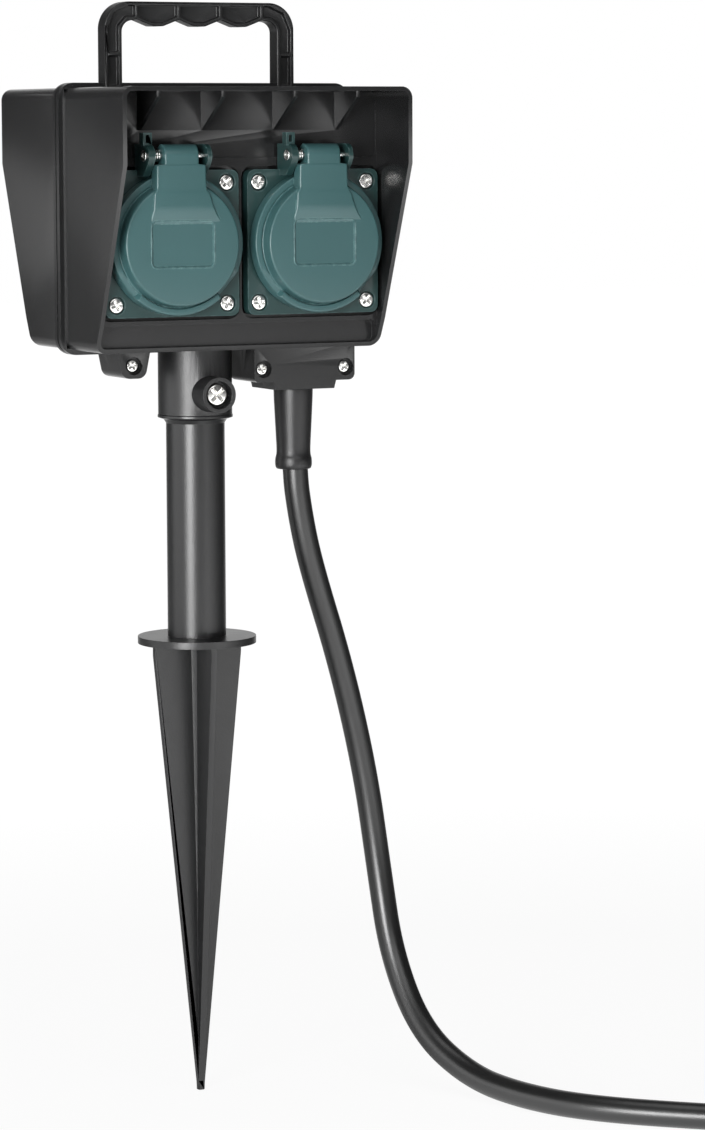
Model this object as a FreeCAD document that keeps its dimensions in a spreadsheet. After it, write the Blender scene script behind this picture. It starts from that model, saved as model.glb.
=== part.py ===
# Garden socket spike: a hooded head with two sockets at the front and two at the rear,
# a carrying handle, a clamped collar on a ground spike, and a coiled supply cord with its plug.
# Millimetres. The origin is the spike's tip, +Z is up, and the front faces -Y.
import FreeCAD, Part
import math
import os
import re
import Sketcher
from FreeCAD import Placement, Rotation, Vector

doc = FreeCAD.newDocument("GardenSocketSpike")
sheet = doc.addObject("Spreadsheet::Sheet", "Sizes")
aliases = []


def size(alias, value, note):
    row = len(aliases) + 1
    sheet.set("A%d" % row, alias)
    sheet.set("B%d" % row, str(value))
    sheet.set("C%d" % row, note)
    sheet.setAlias("B%d" % row, alias)
    aliases.append(alias)


# Ground spike
size("spike_length", 164.0, "tip to the underside of the foot disc")
size("disc_thickness", 2.6, "foot disc")
size("disc_radius", 21.2, "foot disc")
size("pole_radius", 10.45, "outside of the pole")
size("pole_wall", 2.4, "wall of the hollow pole")
size("pole_exposed", 79.4, "disc to the collar")
size("lip_radius", 13.4, "flared lip under the collar")
size("lip_height", 3.1, "flared lip under the collar")
size("blade_reach", 16.8, "side blades at the disc, from the axis")
size("blade_reach_front", 15.2, "front and rear blades at the disc, from the axis")
size("blade_thickness", 2.4, "each blade")
size("core_radius", 3.1, "core of the blades at the disc")
size("tip_radius", 0.9, "blunt tip")
# Collar and its screw
size("collar_radius", 13.2, "outside of the collar")
size("collar_drop", 24.1, "collar below the head")
size("collar_flange", 3.2, "width of the flange held inside the head")
size("flange_thickness", 2.2, "flange held inside the head")
size("pole_grip", 22.0, "length of pole inside the collar")
size("slide_gap", 0.1, "running clearance on a diameter's side")
size("boss_radius", 6.35, "screw boss on the collar")
size("boss_reach", 21.2, "pole axis to the face of the boss")
size("boss_height", 7.8, "collar's lower edge to the boss axis")
size("boss_bore", 4.9, "recess for the screw head")
size("clamp_head_radius", 4.0, "head of the clamp screw")
size("clamp_head_height", 2.6, "head of the clamp screw")
size("clamp_head_depth", 1.4, "boss face to the screw head")
size("clamp_shank_radius", 2.1, "shank of the clamp screw")
# Head
size("head_offset", 4.0, "pole axis to the middle of the head")
size("head_half_width", 54.4, "middle to the outer side")
size("head_height", 91.0, "underside to roof, outside")
size("corner_radius", 4.0, "long edges of the head")
size("hood_depth", 56.1, "seam to the upper rim")
size("kink_height", 64.6, "head underside to the bend in the rim")
size("chin_height", 10.1, "head underside to the lower bend in the rim")
size("chin_depth", 34.5, "seam to the lower bend in the rim")
size("sill_depth", 29.4, "seam to the lowest part of the rim")
size("hood_wall", 1.5, "wall of the hood")
size("shell_wall", 2.0, "wall of the closed middle part")
size("deck_depth", 31.0, "seam to the deck that carries the plates")
size("deck_back", 25.0, "seam to the inner side of the deck")
size("deck_step", 0.8, "upper wall set back from the deck")
size("panel_depth", 27.0, "seam to the bare panel under the plates")
size("ledge_height", 9.4, "head underside to the top of the panel")
size("bead_proud", 1.75, "seam bead above the wall")
size("bead_width", 2.2, "seam bead along the depth")
size("groove_width", 1.0, "groove between the two beads")
size("gusset_inner", 13.6, "middle to the inner roof gussets")
size("gusset_outer", 37.6, "middle to the outer roof gussets")
size("gusset_thickness", 1.4, "roof gusset")
size("gusset_reach", 17.5, "roof gusset, from the wall")
size("gusset_drop", 13.3, "roof gusset, down the wall")
size("gusset_nose", 2.0, "roof gusset, height of the front edge")
# Lug and cable box under the head
size("lug_offset", -31.3, "middle of the head to the lug")
size("lug_half_width", 6.6, "lug at the head")
size("lug_drop", 10.3, "lug below the head")
size("lug_foot_half", 4.3, "lug at its foot")
size("lug_rounding", 3.4, "corners at the lug's foot")
size("lug_half_depth", 9.2, "seam to the lug's face")
size("lug_screw_drop", 5.9, "head underside to the lug screw")
size("box_offset", 34.6, "middle of the head to the cord")
size("box_half_width", 19.8, "cable box")
size("box_shoulder_drop", 13.1, "cable box below the head")
size("box_nose_drop", 16.0, "middle of the cable box below the head")
size("box_nose_half", 11.6, "middle of the cable box")
size("box_half_depth", 10.0, "seam to the box face")
size("box_wall", 2.2, "wall of the cable box")
size("box_screw_offset", 16.2, "cord to each box screw")
size("box_screw_drop", 8.4, "head underside to the box screws")
size("screw_recess_radius", 3.2, "recess of a shell or plate screw")
size("screw_recess_depth", 2.6, "recess of a shell screw")
# Handle
size("handle_offset", -2.3, "middle of the head to the middle of the handle")
size("handle_half_width", 36.3, "outside of the handle")
size("handle_rise", 29.9, "head roof to the top of the handle")
size("handle_thickness", 6.6, "handle, front to rear")
size("leg_width", 6.5, "handle leg")
size("handle_corner", 9.5, "outer corner of the handle")
size("handle_inner_corner", 4.0, "inner corner of the handle")
size("grip_height", 6.2, "grip at its narrow places")
size("bump_height", 2.3, "finger bump under the grip")
size("bump_pitch", 16.0, "from one finger bump to the next")
size("bump_flat", 2.0, "half of the flat of a bump")
size("handle_rim", 1.3, "rim round the pockets of the handle")
size("handle_web", 2.2, "web between the pockets of the two faces")
size("foot_height", 3.0, "foot of a handle leg, inside the head")
size("foot_wing", 2.4, "foot beyond the leg")
# Sockets
size("socket_offset", 26.9, "middle of the head to the middle of a socket")
size("socket_height", 37.4, "head underside to the middle of the sockets")
size("plate_half", 25.2, "half of the square plate")
size("plate_corner", 2.6, "corner of the plate")
size("plate_proud", 2.4, "plate in front of the deck")
size("plate_thickness", 4.2, "plate")
size("pocket_gap", 1.3, "pocket round the plate")
size("seal_thickness", 0.8, "seal behind the plate")
size("screw_half_spacing", 20.85, "half of the spacing of the plate screws")
size("plate_recess_depth", 1.4, "recess of a plate screw")
size("collar_height", 2.4, "raised rim of the socket")
size("rim_radius", 21.0, "raised rim of the socket")
size("recess_radius", 19.7, "socket recess")
size("recess_depth", 17.0, "socket recess, from the rim")
size("cup_floor", 1.6, "floor of the recess")
size("cup_half", 21.3, "half of the cup behind the plate, across the flats")
size("cup_bevel", 6.7, "bevelled corner of the cup")
size("cup_gap", 0.5, "cup in the opening of the deck")
size("pin_half_spacing", 9.5, "half of the spacing of the contacts")
size("pin_hole_radius", 2.95, "contact hole")
size("block_half_width", 17.0, "contact block")
size("block_half_height", 9.0, "contact block")
size("block_depth", 9.6, "contact block")
size("sleeve_half", 2.8, "contact sleeve, outside")
size("sleeve_wall", 0.35, "contact sleeve")
size("earth_width", 5.2, "earth clip")
size("earth_thickness", 0.8, "earth clip")
size("earth_reach", 19.2, "socket axis to the back of the earth clip's arms")
size("earth_bulge", 15.9, "socket axis to the contact point of the earth clip")
# Lids and hinges
size("hinge_height", 30.2, "socket axis to the hinge axis")
size("hinge_forward", 6.5, "plate to the hinge axis")
size("barrel_radius", 3.9, "hinge barrel of the lid")
size("barrel_left", 6.9, "socket axis to the left end of the barrel")
size("barrel_right", 5.9, "socket axis to the right end of the barrel")
size("ear_gap", 3.2, "barrel to the right ear")
size("ear_thickness", 1.6, "right ear")
size("spring_room", 3.5, "barrel to the left ear")
size("left_ear_thickness", 2.4, "left ear")
size("ear_root", 7.0, "hinge axis down to the root of the ears")
size("pin_radius", 1.0, "hinge pin")
size("pin_gap", 0.05, "hinge pin in its holes")
size("pin_head_radius", 1.8, "head of the hinge pin")
size("pin_head_height", 0.6, "head of the hinge pin")
size("tab_width", 3.2, "windowed tab on the left ear")
size("tab_height", 3.9, "windowed tab on the left ear")
size("tab_frame", 0.95, "frame of the windowed tab")
size("lid_radius", 24.5, "ring of the lid")
size("lid_inner_radius", 22.4, "inside of the lid's ring")
size("lid_lift", 0.4, "plate to the lid's ring")
size("ring_front", 5.2, "plate to the front of the ring")
size("crown_radius", 21.6, "raised centre of the lid")
size("crown_front", 9.6, "plate to the front of the raised centre")
size("pad_front", 3.9, "plate to the seat of the sealing pad")
size("pad_gap", 0.2, "sealing pad to the socket's rim")
size("arm_proud", 0.8, "arm in front of the raised centre")
size("arm_half_width", 11.2, "arm at its foot")
size("arm_left", 9.9, "arm under the barrel, to the left")
size("arm_right", 8.5, "arm under the barrel, to the right")
size("tab_depth", 3.4, "windowed tab on the left ear")
size("tab_overhang", 0.7, "windowed tab beyond the ear")
size("arm_foot", 10.0, "socket axis to the foot of the arm")
size("label_half_width", 11.5, "shallow recess in the lid")
size("label_half_height", 7.6, "shallow recess in the lid")
size("label_depth", 0.4, "shallow recess in the lid")
size("thumb_height", 1.0, "raised thumb edge at the lid's foot")
size("thumb_half_width", 14.5, "raised thumb edge at the lid's foot")
# Cord set
size("cord_radius", 4.6, "supply cord")
size("boot_radius", 7.1, "cord boot at the cable box")
size("boot_neck_radius", 6.1, "narrow place of the boot")
size("boot_bulb_radius", 6.6, "end of the boot")
size("boot_length", 29.2, "boot below the cable box")
size("boot_spigot_radius", 5.9, "boot inside the box wall")
size("cord_gap", 0.05, "cord in the boot")
size("cord_tail_up", 8.0, "cord above the floor of the cable box")
size("clamp_half_width", 10.4, "cord clamp")
size("clamp_thickness", 2.6, "cord clamp")
size("clamp_height", 5.0, "cord clamp")
size("coil_radius", 60.5, "coil, outermost turn")
size("coil_pitch", 9.75, "coil, from one turn to the next")
size("coil_layer", 9.75, "coil, from one layer to the next")
size("coil_turns", 2.35, "turns of the coil")
size("coil_x", 217.8, "middle of the coil")
size("coil_y", -118.2, "middle of the coil")
# Plug
size("plug_radius", 18.7, "front of the plug")
size("plug_front_length", 17.5, "part of the plug that enters a socket")
size("plug_grip_radius", 15.5, "grip of the plug")
size("plug_length", 52.0, "plug without its sleeve")
size("plug_sleeve_radius", 7.6, "cord sleeve of the plug")
size("plug_sleeve_length", 30.0, "cord sleeve of the plug")
size("plug_pin_radius", 2.4, "plug pin")
size("plug_pin_length", 19.0, "plug pin")
size("plug_pin_tip", 1.0, "bevel of a plug pin")
size("plug_earth_width", 5.0, "earth strip of the plug")
doc.recompute()

pattern = re.compile(r"\b(%s)\b" % "|".join(sorted(aliases, key=len, reverse=True)))


def bound(expression):
    return pattern.sub(r"Sizes.\1", str(expression))


def value(expression):
    return float(sheet.evalExpression(bound(expression)))


# Heights and places that several pieces share
disc_top = "(spike_length + disc_thickness)"
collar_foot = "(spike_length + disc_thickness + pole_exposed)"
head_floor = "(spike_length + disc_thickness + pole_exposed + collar_drop)"
head_roof = "(spike_length + disc_thickness + pole_exposed + collar_drop + head_height)"
boss_level = "(spike_length + disc_thickness + pole_exposed + boss_height)"
socket_level = "(spike_length + disc_thickness + pole_exposed + collar_drop + socket_height)"
cord_x = "(head_offset + box_offset)"
handle_x = "(head_offset + handle_offset)"
handle_top = "(spike_length + disc_thickness + pole_exposed + collar_drop + head_height + handle_rise)"
plate_plane = "(deck_depth + plate_proud)"
pocket_floor = "(deck_depth + plate_proud - plate_thickness - seal_thickness)"
cup_back = "(recess_depth - collar_height + cup_floor)"
left_ear_inner = "(barrel_left + spring_room)"
left_ear_outer = "(barrel_left + spring_room + left_ear_thickness)"
right_ear_inner = "(barrel_right + ear_gap)"
right_ear_outer = "(barrel_right + ear_gap + ear_thickness)"

axis_turn = {
    "+Z": Rotation(),
    "-Y": Rotation(Vector(1, 0, 0), 90),
    "+Y": Rotation(Vector(1, 0, 0), -90),
    "+X": Rotation(Vector(0, 1, 0), 90),
}
subparts = []


def add(kind, name):
    obj = doc.addObject(kind, name)
    obj.Label = name
    return obj


def keep(obj, name):
    obj.Label = name
    subparts.append((name, obj))
    return obj


def place(obj, x, y, z, rotation=None):
    obj.Placement = Placement(Vector(0, 0, 0), rotation or Rotation())
    obj.setExpression("Placement.Base.x", bound(x))
    obj.setExpression("Placement.Base.y", bound(y))
    obj.setExpression("Placement.Base.z", bound(z))
    return obj


def block(name, x0, x1, y0, y1, z0, z1):
    obj = add("Part::Box", name)
    obj.setExpression("Length", bound("(%s) - (%s)" % (x1, x0)))
    obj.setExpression("Width", bound("(%s) - (%s)" % (y1, y0)))
    obj.setExpression("Height", bound("(%s) - (%s)" % (z1, z0)))
    return place(obj, x0, y0, z0)


def rod(name, radius, length, x, y, z, axis="+Z"):
    obj = add("Part::Cylinder", name)
    obj.setExpression("Radius", bound(radius))
    obj.setExpression("Height", bound(length))
    return place(obj, x, y, z, axis_turn[axis])


def prism(name, sides, radius, length, x, y, z, axis="+Z", spin=0.0):
    obj = add("Part::Prism", name)
    obj.Polygon = round(sides)
    obj.setExpression("Circumradius", bound(radius))
    obj.setExpression("Height", bound(length))
    return place(obj, x, y, z, axis_turn[axis].multiply(Rotation(Vector(0, 0, 1), spin)))


# A solid with flat sides through regular polygons, each given by its distance and radius
def tapered(name, sides, sections, axis="+Z", spin=0.0):
    turn = axis_turn[axis].multiply(Rotation(Vector(0, 0, 1), spin))
    rings = []
    for distance, radius in sections:
        ring = []
        for k in range(sides):
            angle = 2.0 * math.pi * k / sides
            flat = Vector(value(radius) * math.cos(angle), value(radius) * math.sin(angle), value(distance))
            ring.append(turn.multVec(flat))
        rings.append(ring)
    faces = []
    for ring in (rings[0], rings[-1]):
        faces.append(Part.Face(Part.makePolygon(ring + ring[:1])))
    for lower, upper in zip(rings, rings[1:]):
        for k in range(sides):
            n = (k + 1) % sides
            faces.append(Part.Face(Part.makePolygon([lower[k], lower[n], upper[n], upper[k], lower[k]])))
    solid = Part.Solid(Part.Shell(faces))
    if solid.Volume < 0:
        solid.reverse()
    obj = add("Part::Feature", name)
    obj.Shape = solid
    return obj


def join(name, parts):
    obj = add("Part::MultiFuse", name)
    obj.Shapes = parts
    obj.Refine = True
    return obj


def cut(name, base, tools):
    tool = tools[0] if len(tools) == 1 else join(name + "_tools", tools)
    obj = add("Part::Cut", name)
    obj.Base = base
    obj.Tool = tool
    obj.Refine = True
    return obj


# Sketches: each corner of a profile is a point held by the sheet's sizes, and a rounded
# corner is an arc tangent to both of its sides.
def origin_plane(body, role):
    return [f for f in body.Origin.OriginFeatures if f.Role == role][0]


def new_sketch(body, name, role, offset=None):
    sketch = body.newObject("Sketcher::SketchObject", name)
    sketch.AttachmentSupport = [(origin_plane(body, role), "")]
    sketch.MapMode = "FlatFace"
    if offset is not None:
        sketch.setExpression("AttachmentOffset.Base.z", bound(offset))
    return sketch


def pin_point(sketch, geo, pos, expressions):
    for axis, kind in ((0, "DistanceX"), (1, "DistanceY")):
        amount = value(expressions[axis])
        if abs(amount) < 1e-9:
            sketch.addConstraint(Sketcher.Constraint("PointOnObject", geo, pos, -2 + axis))
        elif amount > 0:
            index = sketch.addConstraint(Sketcher.Constraint(kind, -1, 1, geo, pos, amount))
            sketch.setExpression("Constraints[%d]" % index, bound(expressions[axis]))
        else:
            index = sketch.addConstraint(Sketcher.Constraint(kind, geo, pos, -1, 1, -amount))
            sketch.setExpression("Constraints[%d]" % index, bound("-(%s)" % expressions[axis]))


def outline(sketch, corners):
    count = len(corners)
    points = [Vector(value(c[0]), value(c[1]), 0) for c in corners]
    radii = [value(c[2]) if len(c) > 2 else 0.0 for c in corners]
    starts = []
    ends = []
    turns = []
    for i in range(count):
        before = (points[i] - points[i - 1]).normalize()
        after = (points[(i + 1) % count] - points[i]).normalize()
        turn = before.x * after.y - before.y * after.x
        turns.append(turn)
        reach = radii[i] * math.tan(before.getAngle(after) / 2.0) if radii[i] else 0.0
        ends.append(points[i] - before * reach)
        starts.append(points[i] + after * reach)
    lines = [sketch.addGeometry(Part.LineSegment(starts[i], ends[(i + 1) % count]), False)
             for i in range(count)]
    for i in range(count):
        line_in = lines[i - 1]
        line_out = lines[i]
        if not radii[i]:
            sketch.addConstraint(Sketcher.Constraint("Coincident", line_in, 2, line_out, 1))
            pin_point(sketch, line_out, 1, corners[i])
            continue
        side = 1.0 if turns[i] > 0 else -1.0
        before = (points[i] - points[i - 1]).normalize()
        centre = ends[i] + Vector(-before.y, before.x, 0) * (side * radii[i])
        middle = points[i] - centre
        middle = centre + middle.normalize() * radii[i]
        arc = sketch.addGeometry(Part.Arc(ends[i], middle, starts[i]), False)
        first, last = (1, 2) if turns[i] > 0 else (2, 1)
        sketch.addConstraint(Sketcher.Constraint("Tangent", line_in, 2, arc, first))
        sketch.addConstraint(Sketcher.Constraint("Tangent", arc, last, line_out, 1))
        index = sketch.addConstraint(Sketcher.Constraint("Radius", arc, radii[i]))
        sketch.setExpression("Constraints[%d]" % index, bound(corners[i][2]))
        corner = sketch.addGeometry(Part.Point(points[i]), True)
        sketch.addConstraint(Sketcher.Constraint("PointOnObject", corner, 1, line_in))
        sketch.addConstraint(Sketcher.Constraint("PointOnObject", corner, 1, line_out))
        pin_point(sketch, corner, 1, corners[i])
    return sketch


def rectangle(sketch, x0, x1, y0, y1, radius=None):
    corners = [(x0, y0), (x1, y0), (x1, y1), (x0, y1)]
    if radius is not None:
        corners = [c + (radius,) for c in corners]
    return outline(sketch, corners)


def soft_corner(x, y, radius, sign_x, sign_y, first, last, flats=3):
    points = []
    for k in range(flats + 1):
        angle = math.radians(first + (last - first) * k / flats)
        points.append(("%s + %s * (%s) * %.6f" % (x, sign_x, radius, abs(math.cos(angle)) - 1.0),
                       "%s + %s * (%s) * %.6f" % (y, sign_y, radius, abs(math.sin(angle)) - 1.0)))
    return points


def soft_rectangle(sketch, x0, x1, y0, y1, radius):
    corners = soft_corner(x1, y1, radius, 1, 1, 0, 90)
    corners += soft_corner(x0, y1, radius, -1, 1, 90, 180)
    corners += soft_corner(x0, y0, radius, -1, -1, 180, 270)
    corners += soft_corner(x1, y0, radius, 1, -1, 270, 360)
    return outline(sketch, corners)


def circle(sketch, x, y, radius):
    centre = Vector(value(x), value(y), 0)
    geo = sketch.addGeometry(Part.Circle(centre, Vector(0, 0, 1), value(radius)), False)
    index = sketch.addConstraint(Sketcher.Constraint("Radius", geo, value(radius)))
    sketch.setExpression("Constraints[%d]" % index, bound(radius))
    pin_point(sketch, geo, 3, (x, y))
    return sketch


def pad(body, name, sketch, length, symmetric=False, backward=False):
    feature = body.newObject("PartDesign::Pad", name)
    feature.Profile = sketch
    feature.setExpression("Length", bound(length))
    feature.SideType = "Symmetric" if symmetric else "One side"
    feature.Reversed = backward
    return feature


def pocket(body, name, sketch, length, symmetric=False, forward=False):
    feature = body.newObject("PartDesign::Pocket", name)
    feature.Profile = sketch
    feature.setExpression("Length", bound(length))
    feature.SideType = "Symmetric" if symmetric else "One side"
    feature.Reversed = forward
    return feature


def turned(body, name, sketch, axis):
    feature = body.newObject("PartDesign::Revolution", name)
    feature.Profile = sketch
    feature.ReferenceAxis = (sketch, [axis])
    feature.Angle = 360
    return feature


# Ground spike: turned pole, lip, disc and core, with four tapering blades
spike = add("PartDesign::Body", "GroundSpike")
profile = new_sketch(spike, "PoleProfile", "XZ_Plane")
outline(profile, [
    ("0", "spike_length"),
    ("disc_radius", "spike_length"),
    ("disc_radius", disc_top),
    ("pole_radius", disc_top),
    ("pole_radius", collar_foot + " - lip_height"),
    ("pole_radius + 0.3 * (lip_radius - pole_radius)", collar_foot + " - 0.55 * lip_height"),
    ("lip_radius", collar_foot + " - 0.33 * lip_height"),
    ("lip_radius", collar_foot + " - slide_gap"),
    ("pole_radius", collar_foot + " - slide_gap"),
    ("pole_radius", collar_foot + " + pole_grip - slide_gap"),
    ("0", collar_foot + " + pole_grip - slide_gap"),
])
turned(spike, "PoleAndDisc", profile, "V_Axis")
for name, role, reach in (("Side", "XZ_Plane", "blade_reach"), ("Fore", "YZ_Plane", "blade_reach_front")):
    profile = new_sketch(spike, name + "BladeProfile", role)
    outline(profile, [
        ("-tip_radius", "0.4"),
        ("tip_radius", "0.4"),
        (reach, "spike_length - 4"),
        (reach, "spike_length + 0.5"),
        ("-(%s)" % reach, "spike_length + 0.5"),
        ("-(%s)" % reach, "spike_length - 4"),
    ])
    pad(spike, name + "Blades", profile, "blade_thickness", symmetric=True)
core = tapered("SpikeCore", 8, [("0.4", "tip_radius"), ("spike_length + 0.5", "core_radius")], "+Z", 22.5)
bore = prism("PoleBore", 16, "pole_radius - pole_wall", "pole_exposed + pole_grip + 1", "0", "0", disc_top)
keep(cut("SpikeWithBore", join("SpikeAndCore", [spike, core]), [bore]), "ground_spike")

# Collar: a sleeve closed at its top, with a flange that the two shells hold, and a screw boss
collar_flats = 40
collar = add("PartDesign::Body", "Collar")
flange_low = head_floor + " + shell_wall + slide_gap"
profile = new_sketch(collar, "CollarSection", "XY_Plane", collar_foot)
corners = []
for k in range(collar_flats):
    angle = 2.0 * math.pi * k / collar_flats
    corners.append(("%.6f * collar_radius" % math.cos(angle), "%.6f * collar_radius" % math.sin(angle)))
outline(profile, corners)
pad(collar, "Sleeve", profile, flange_low + " + flange_thickness - (%s)" % collar_foot)
profile = new_sketch(collar, "BossProfile", "XZ_Plane", "pole_radius + 0.8")
circle(profile, "0", boss_level, "boss_radius")
pad(collar, "Boss", profile, "boss_reach - pole_radius - 0.8")
clamp_seat = "boss_reach - clamp_head_depth - clamp_head_height"
profile = new_sketch(collar, "HeadRecessProfile", "XZ_Plane", clamp_seat)
circle(profile, "0", boss_level, "boss_bore")
pocket(collar, "HeadRecess", profile, "clamp_head_depth + clamp_head_height + 1", forward=True)
flange = prism("CollarFlange", 12, "collar_radius + collar_flange", "flange_thickness",
               "0", "0", flange_low)
thread = prism("ClampThread", 8, "clamp_shank_radius / 0.92", "boss_reach",
               "0", "-pole_radius + 1", boss_level, "-Y")
bore = prism("PoleSocket", 24, "(pole_radius + slide_gap) / cos(7.5)", "pole_grip", "0", "0", collar_foot)
keep(cut("CollarWithThread", join("CollarAndFlange", [collar, flange]), [thread, bore]), "spike_collar")

clamp_head = rod("ClampHead", "clamp_head_radius", "clamp_head_height",
                 "0", "-(%s)" % clamp_seat, boss_level, "-Y")
clamp_shank = prism("ClampShank", 8, "clamp_shank_radius", clamp_seat + " - pole_radius",
                    "0", "-pole_radius", boss_level, "-Y")
keep(join("ClampScrew", [clamp_head, clamp_shank]), "clamp_screw")

# Half shell of the head, drawn for the front and mirrored across the seam for the rear
half = add("PartDesign::Body", "HalfShell")
left_side = "head_offset - head_half_width"
right_side = "head_offset + head_half_width"
profile = new_sketch(half, "HeadSection", "XZ_Plane")
rectangle(profile, left_side, right_side, head_floor, head_roof, "corner_radius")
pad(half, "HeadBlock", profile, "hood_depth")

profile = new_sketch(half, "RimSlopeProfile", "YZ_Plane", "head_offset")
outline(profile, [
    ("-sill_depth", head_floor + " - 1"),
    ("-sill_depth", head_floor),
    ("-chin_depth", head_floor + " + chin_height"),
    ("-hood_depth", head_floor + " + kink_height"),
    ("-hood_depth - 1", head_floor + " + kink_height"),
    ("-hood_depth - 1", head_floor + " - 1"),
])
pocket(half, "RimSlope", profile, "2 * head_half_width + 4", symmetric=True)

inner_left = left_side + " + hood_wall"
inner_right = right_side + " - hood_wall"
profile = new_sketch(half, "HoodSpaceProfile", "XZ_Plane", "deck_depth")
rectangle(profile, inner_left, inner_right, head_floor + " + hood_wall", head_roof + " - hood_wall",
          "corner_radius - hood_wall")
pocket(half, "HoodSpace", profile, "hood_depth", forward=True)
profile = new_sketch(half, "UpperWallProfile", "XZ_Plane", "deck_depth - deck_step")
rectangle(profile, inner_left, inner_right, socket_level + " + plate_half + pocket_gap + 2.8",
          head_roof + " - hood_wall", "corner_radius - hood_wall")
pocket(half, "UpperWall", profile, "hood_depth", forward=True)
profile = new_sketch(half, "PanelProfile", "XZ_Plane", "panel_depth")
rectangle(profile, inner_left, inner_right, head_floor + " + hood_wall", head_floor + " + ledge_height",
          "corner_radius - hood_wall")
pocket(half, "Panel", profile, "hood_depth", forward=True)

profile = new_sketch(half, "WiringSpaceProfile", "XZ_Plane")
rectangle(profile, left_side + " + shell_wall", right_side + " - shell_wall",
          head_floor + " + shell_wall", head_roof + " - shell_wall")
pocket(half, "WiringSpace", profile, "deck_back", forward=True)

sockets_x = ("head_offset - socket_offset", "head_offset + socket_offset")
pocket_half = "plate_half + pocket_gap"
opening_half = "cup_half + cup_gap"
opening_bevel = "cup_bevel + 0.6 * cup_gap"
for side, centre in zip(("Left", "Right"), sockets_x):
    profile = new_sketch(half, side + "PocketProfile", "XZ_Plane", pocket_floor)
    soft_rectangle(profile, "%s - (%s)" % (centre, pocket_half), "%s + %s" % (centre, pocket_half),
                   "%s - (%s)" % (socket_level, pocket_half), "%s + %s" % (socket_level, pocket_half),
                   "plate_corner + pocket_gap")
    pocket(half, side + "Pocket", profile, "plate_thickness + 2", forward=True)


def bevelled(x, z, half_size, bevel):
    inner = "(%s - %s)" % (half_size, bevel)
    corners = [(1, -2), (2, -1), (2, 1), (1, 2), (-1, 2), (-2, 1), (-2, -1), (-1, -2)]
    reach = {1: "+ %s" % inner, -1: "- %s" % inner, 2: "+ (%s)" % half_size, -2: "- (%s)" % half_size}
    return [("%s %s" % (x, reach[a]), "%s %s" % (z, reach[b])) for a, b in corners]


for side, centre in zip(("Left", "Right"), sockets_x):
    profile = new_sketch(half, side + "OpeningProfile", "XZ_Plane", "deck_back - 1")
    outline(profile, bevelled(centre, socket_level, opening_half, opening_bevel))
    pocket(half, side + "Opening", profile, "deck_depth - deck_back + 4", forward=True)

wall_face = "-(deck_depth - deck_step)"
roof_face = head_roof + " - hood_wall"
gussets = (("A", "-gusset_outer"), ("B", "-gusset_inner"), ("C", "gusset_inner"), ("D", "gusset_outer"))
for name, offset in gussets:
    profile = new_sketch(half, "GussetProfile" + name, "YZ_Plane", "head_offset + " + offset)
    outline(profile, [
        (wall_face + " + 0.5", roof_face + " + 0.5"),
        (wall_face + " - gusset_reach", roof_face + " + 0.5"),
        (wall_face + " - gusset_reach", roof_face + " - gusset_nose"),
        (wall_face, roof_face + " - gusset_drop"),
        (wall_face + " + 0.5", roof_face + " - gusset_drop"),
    ])
    pad(half, "Gusset" + name, profile, "gusset_thickness", symmetric=True)

# Raised bead beside the seam; two beads leave a groove between them
profile = new_sketch(half, "BeadProfile", "XZ_Plane", "groove_width / 2")
rectangle(profile, left_side + " - bead_proud", right_side + " + bead_proud",
          head_floor + " - bead_proud", head_roof + " + bead_proud", "corner_radius + bead_proud")
rectangle(profile, left_side + " + 0.5", right_side + " - 0.5",
          head_floor + " + 0.5", head_roof + " - 0.5")
pad(half, "Bead", profile, "bead_width")

# Lug and cable box below the head
lug_x = "(head_offset + lug_offset)"
profile = new_sketch(half, "LugProfile", "XZ_Plane")
outline(profile, [
    (lug_x + " - lug_half_width", head_floor + " + 1"),
    (lug_x + " - lug_foot_half", head_floor + " - lug_drop", "lug_rounding"),
    (lug_x + " + lug_foot_half", head_floor + " - lug_drop", "lug_rounding"),
    (lug_x + " + lug_half_width", head_floor + " + 1"),
])
pad(half, "Lug", profile, "lug_half_depth")
profile = new_sketch(half, "BoxProfile", "XZ_Plane")
outline(profile, [
    (cord_x + " - box_half_width", head_floor + " + 1"),
    (cord_x + " - box_half_width", head_floor + " - box_shoulder_drop", "1.6"),
    (cord_x + " - box_nose_half - 0.8", head_floor + " - box_shoulder_drop"),
    (cord_x + " - box_nose_half", head_floor + " - box_nose_drop"),
    (cord_x + " + box_nose_half", head_floor + " - box_nose_drop"),
    (cord_x + " + box_nose_half + 0.8", head_floor + " - box_shoulder_drop"),
    (cord_x + " + box_half_width", head_floor + " - box_shoulder_drop", "2.4"),
    (cord_x + " + box_half_width", head_floor + " + 1"),
])
pad(half, "CableBox", profile, "box_half_depth")
profile = new_sketch(half, "BoxSpaceProfile", "XZ_Plane")
rectangle(profile, cord_x + " - clamp_half_width - slide_gap", cord_x + " + clamp_half_width + slide_gap",
          head_floor + " - box_nose_drop + box_wall", head_floor + " + shell_wall + 1")
pocket(half, "BoxSpace", profile, "box_half_depth - box_wall", forward=True)
doc.recompute()

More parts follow.
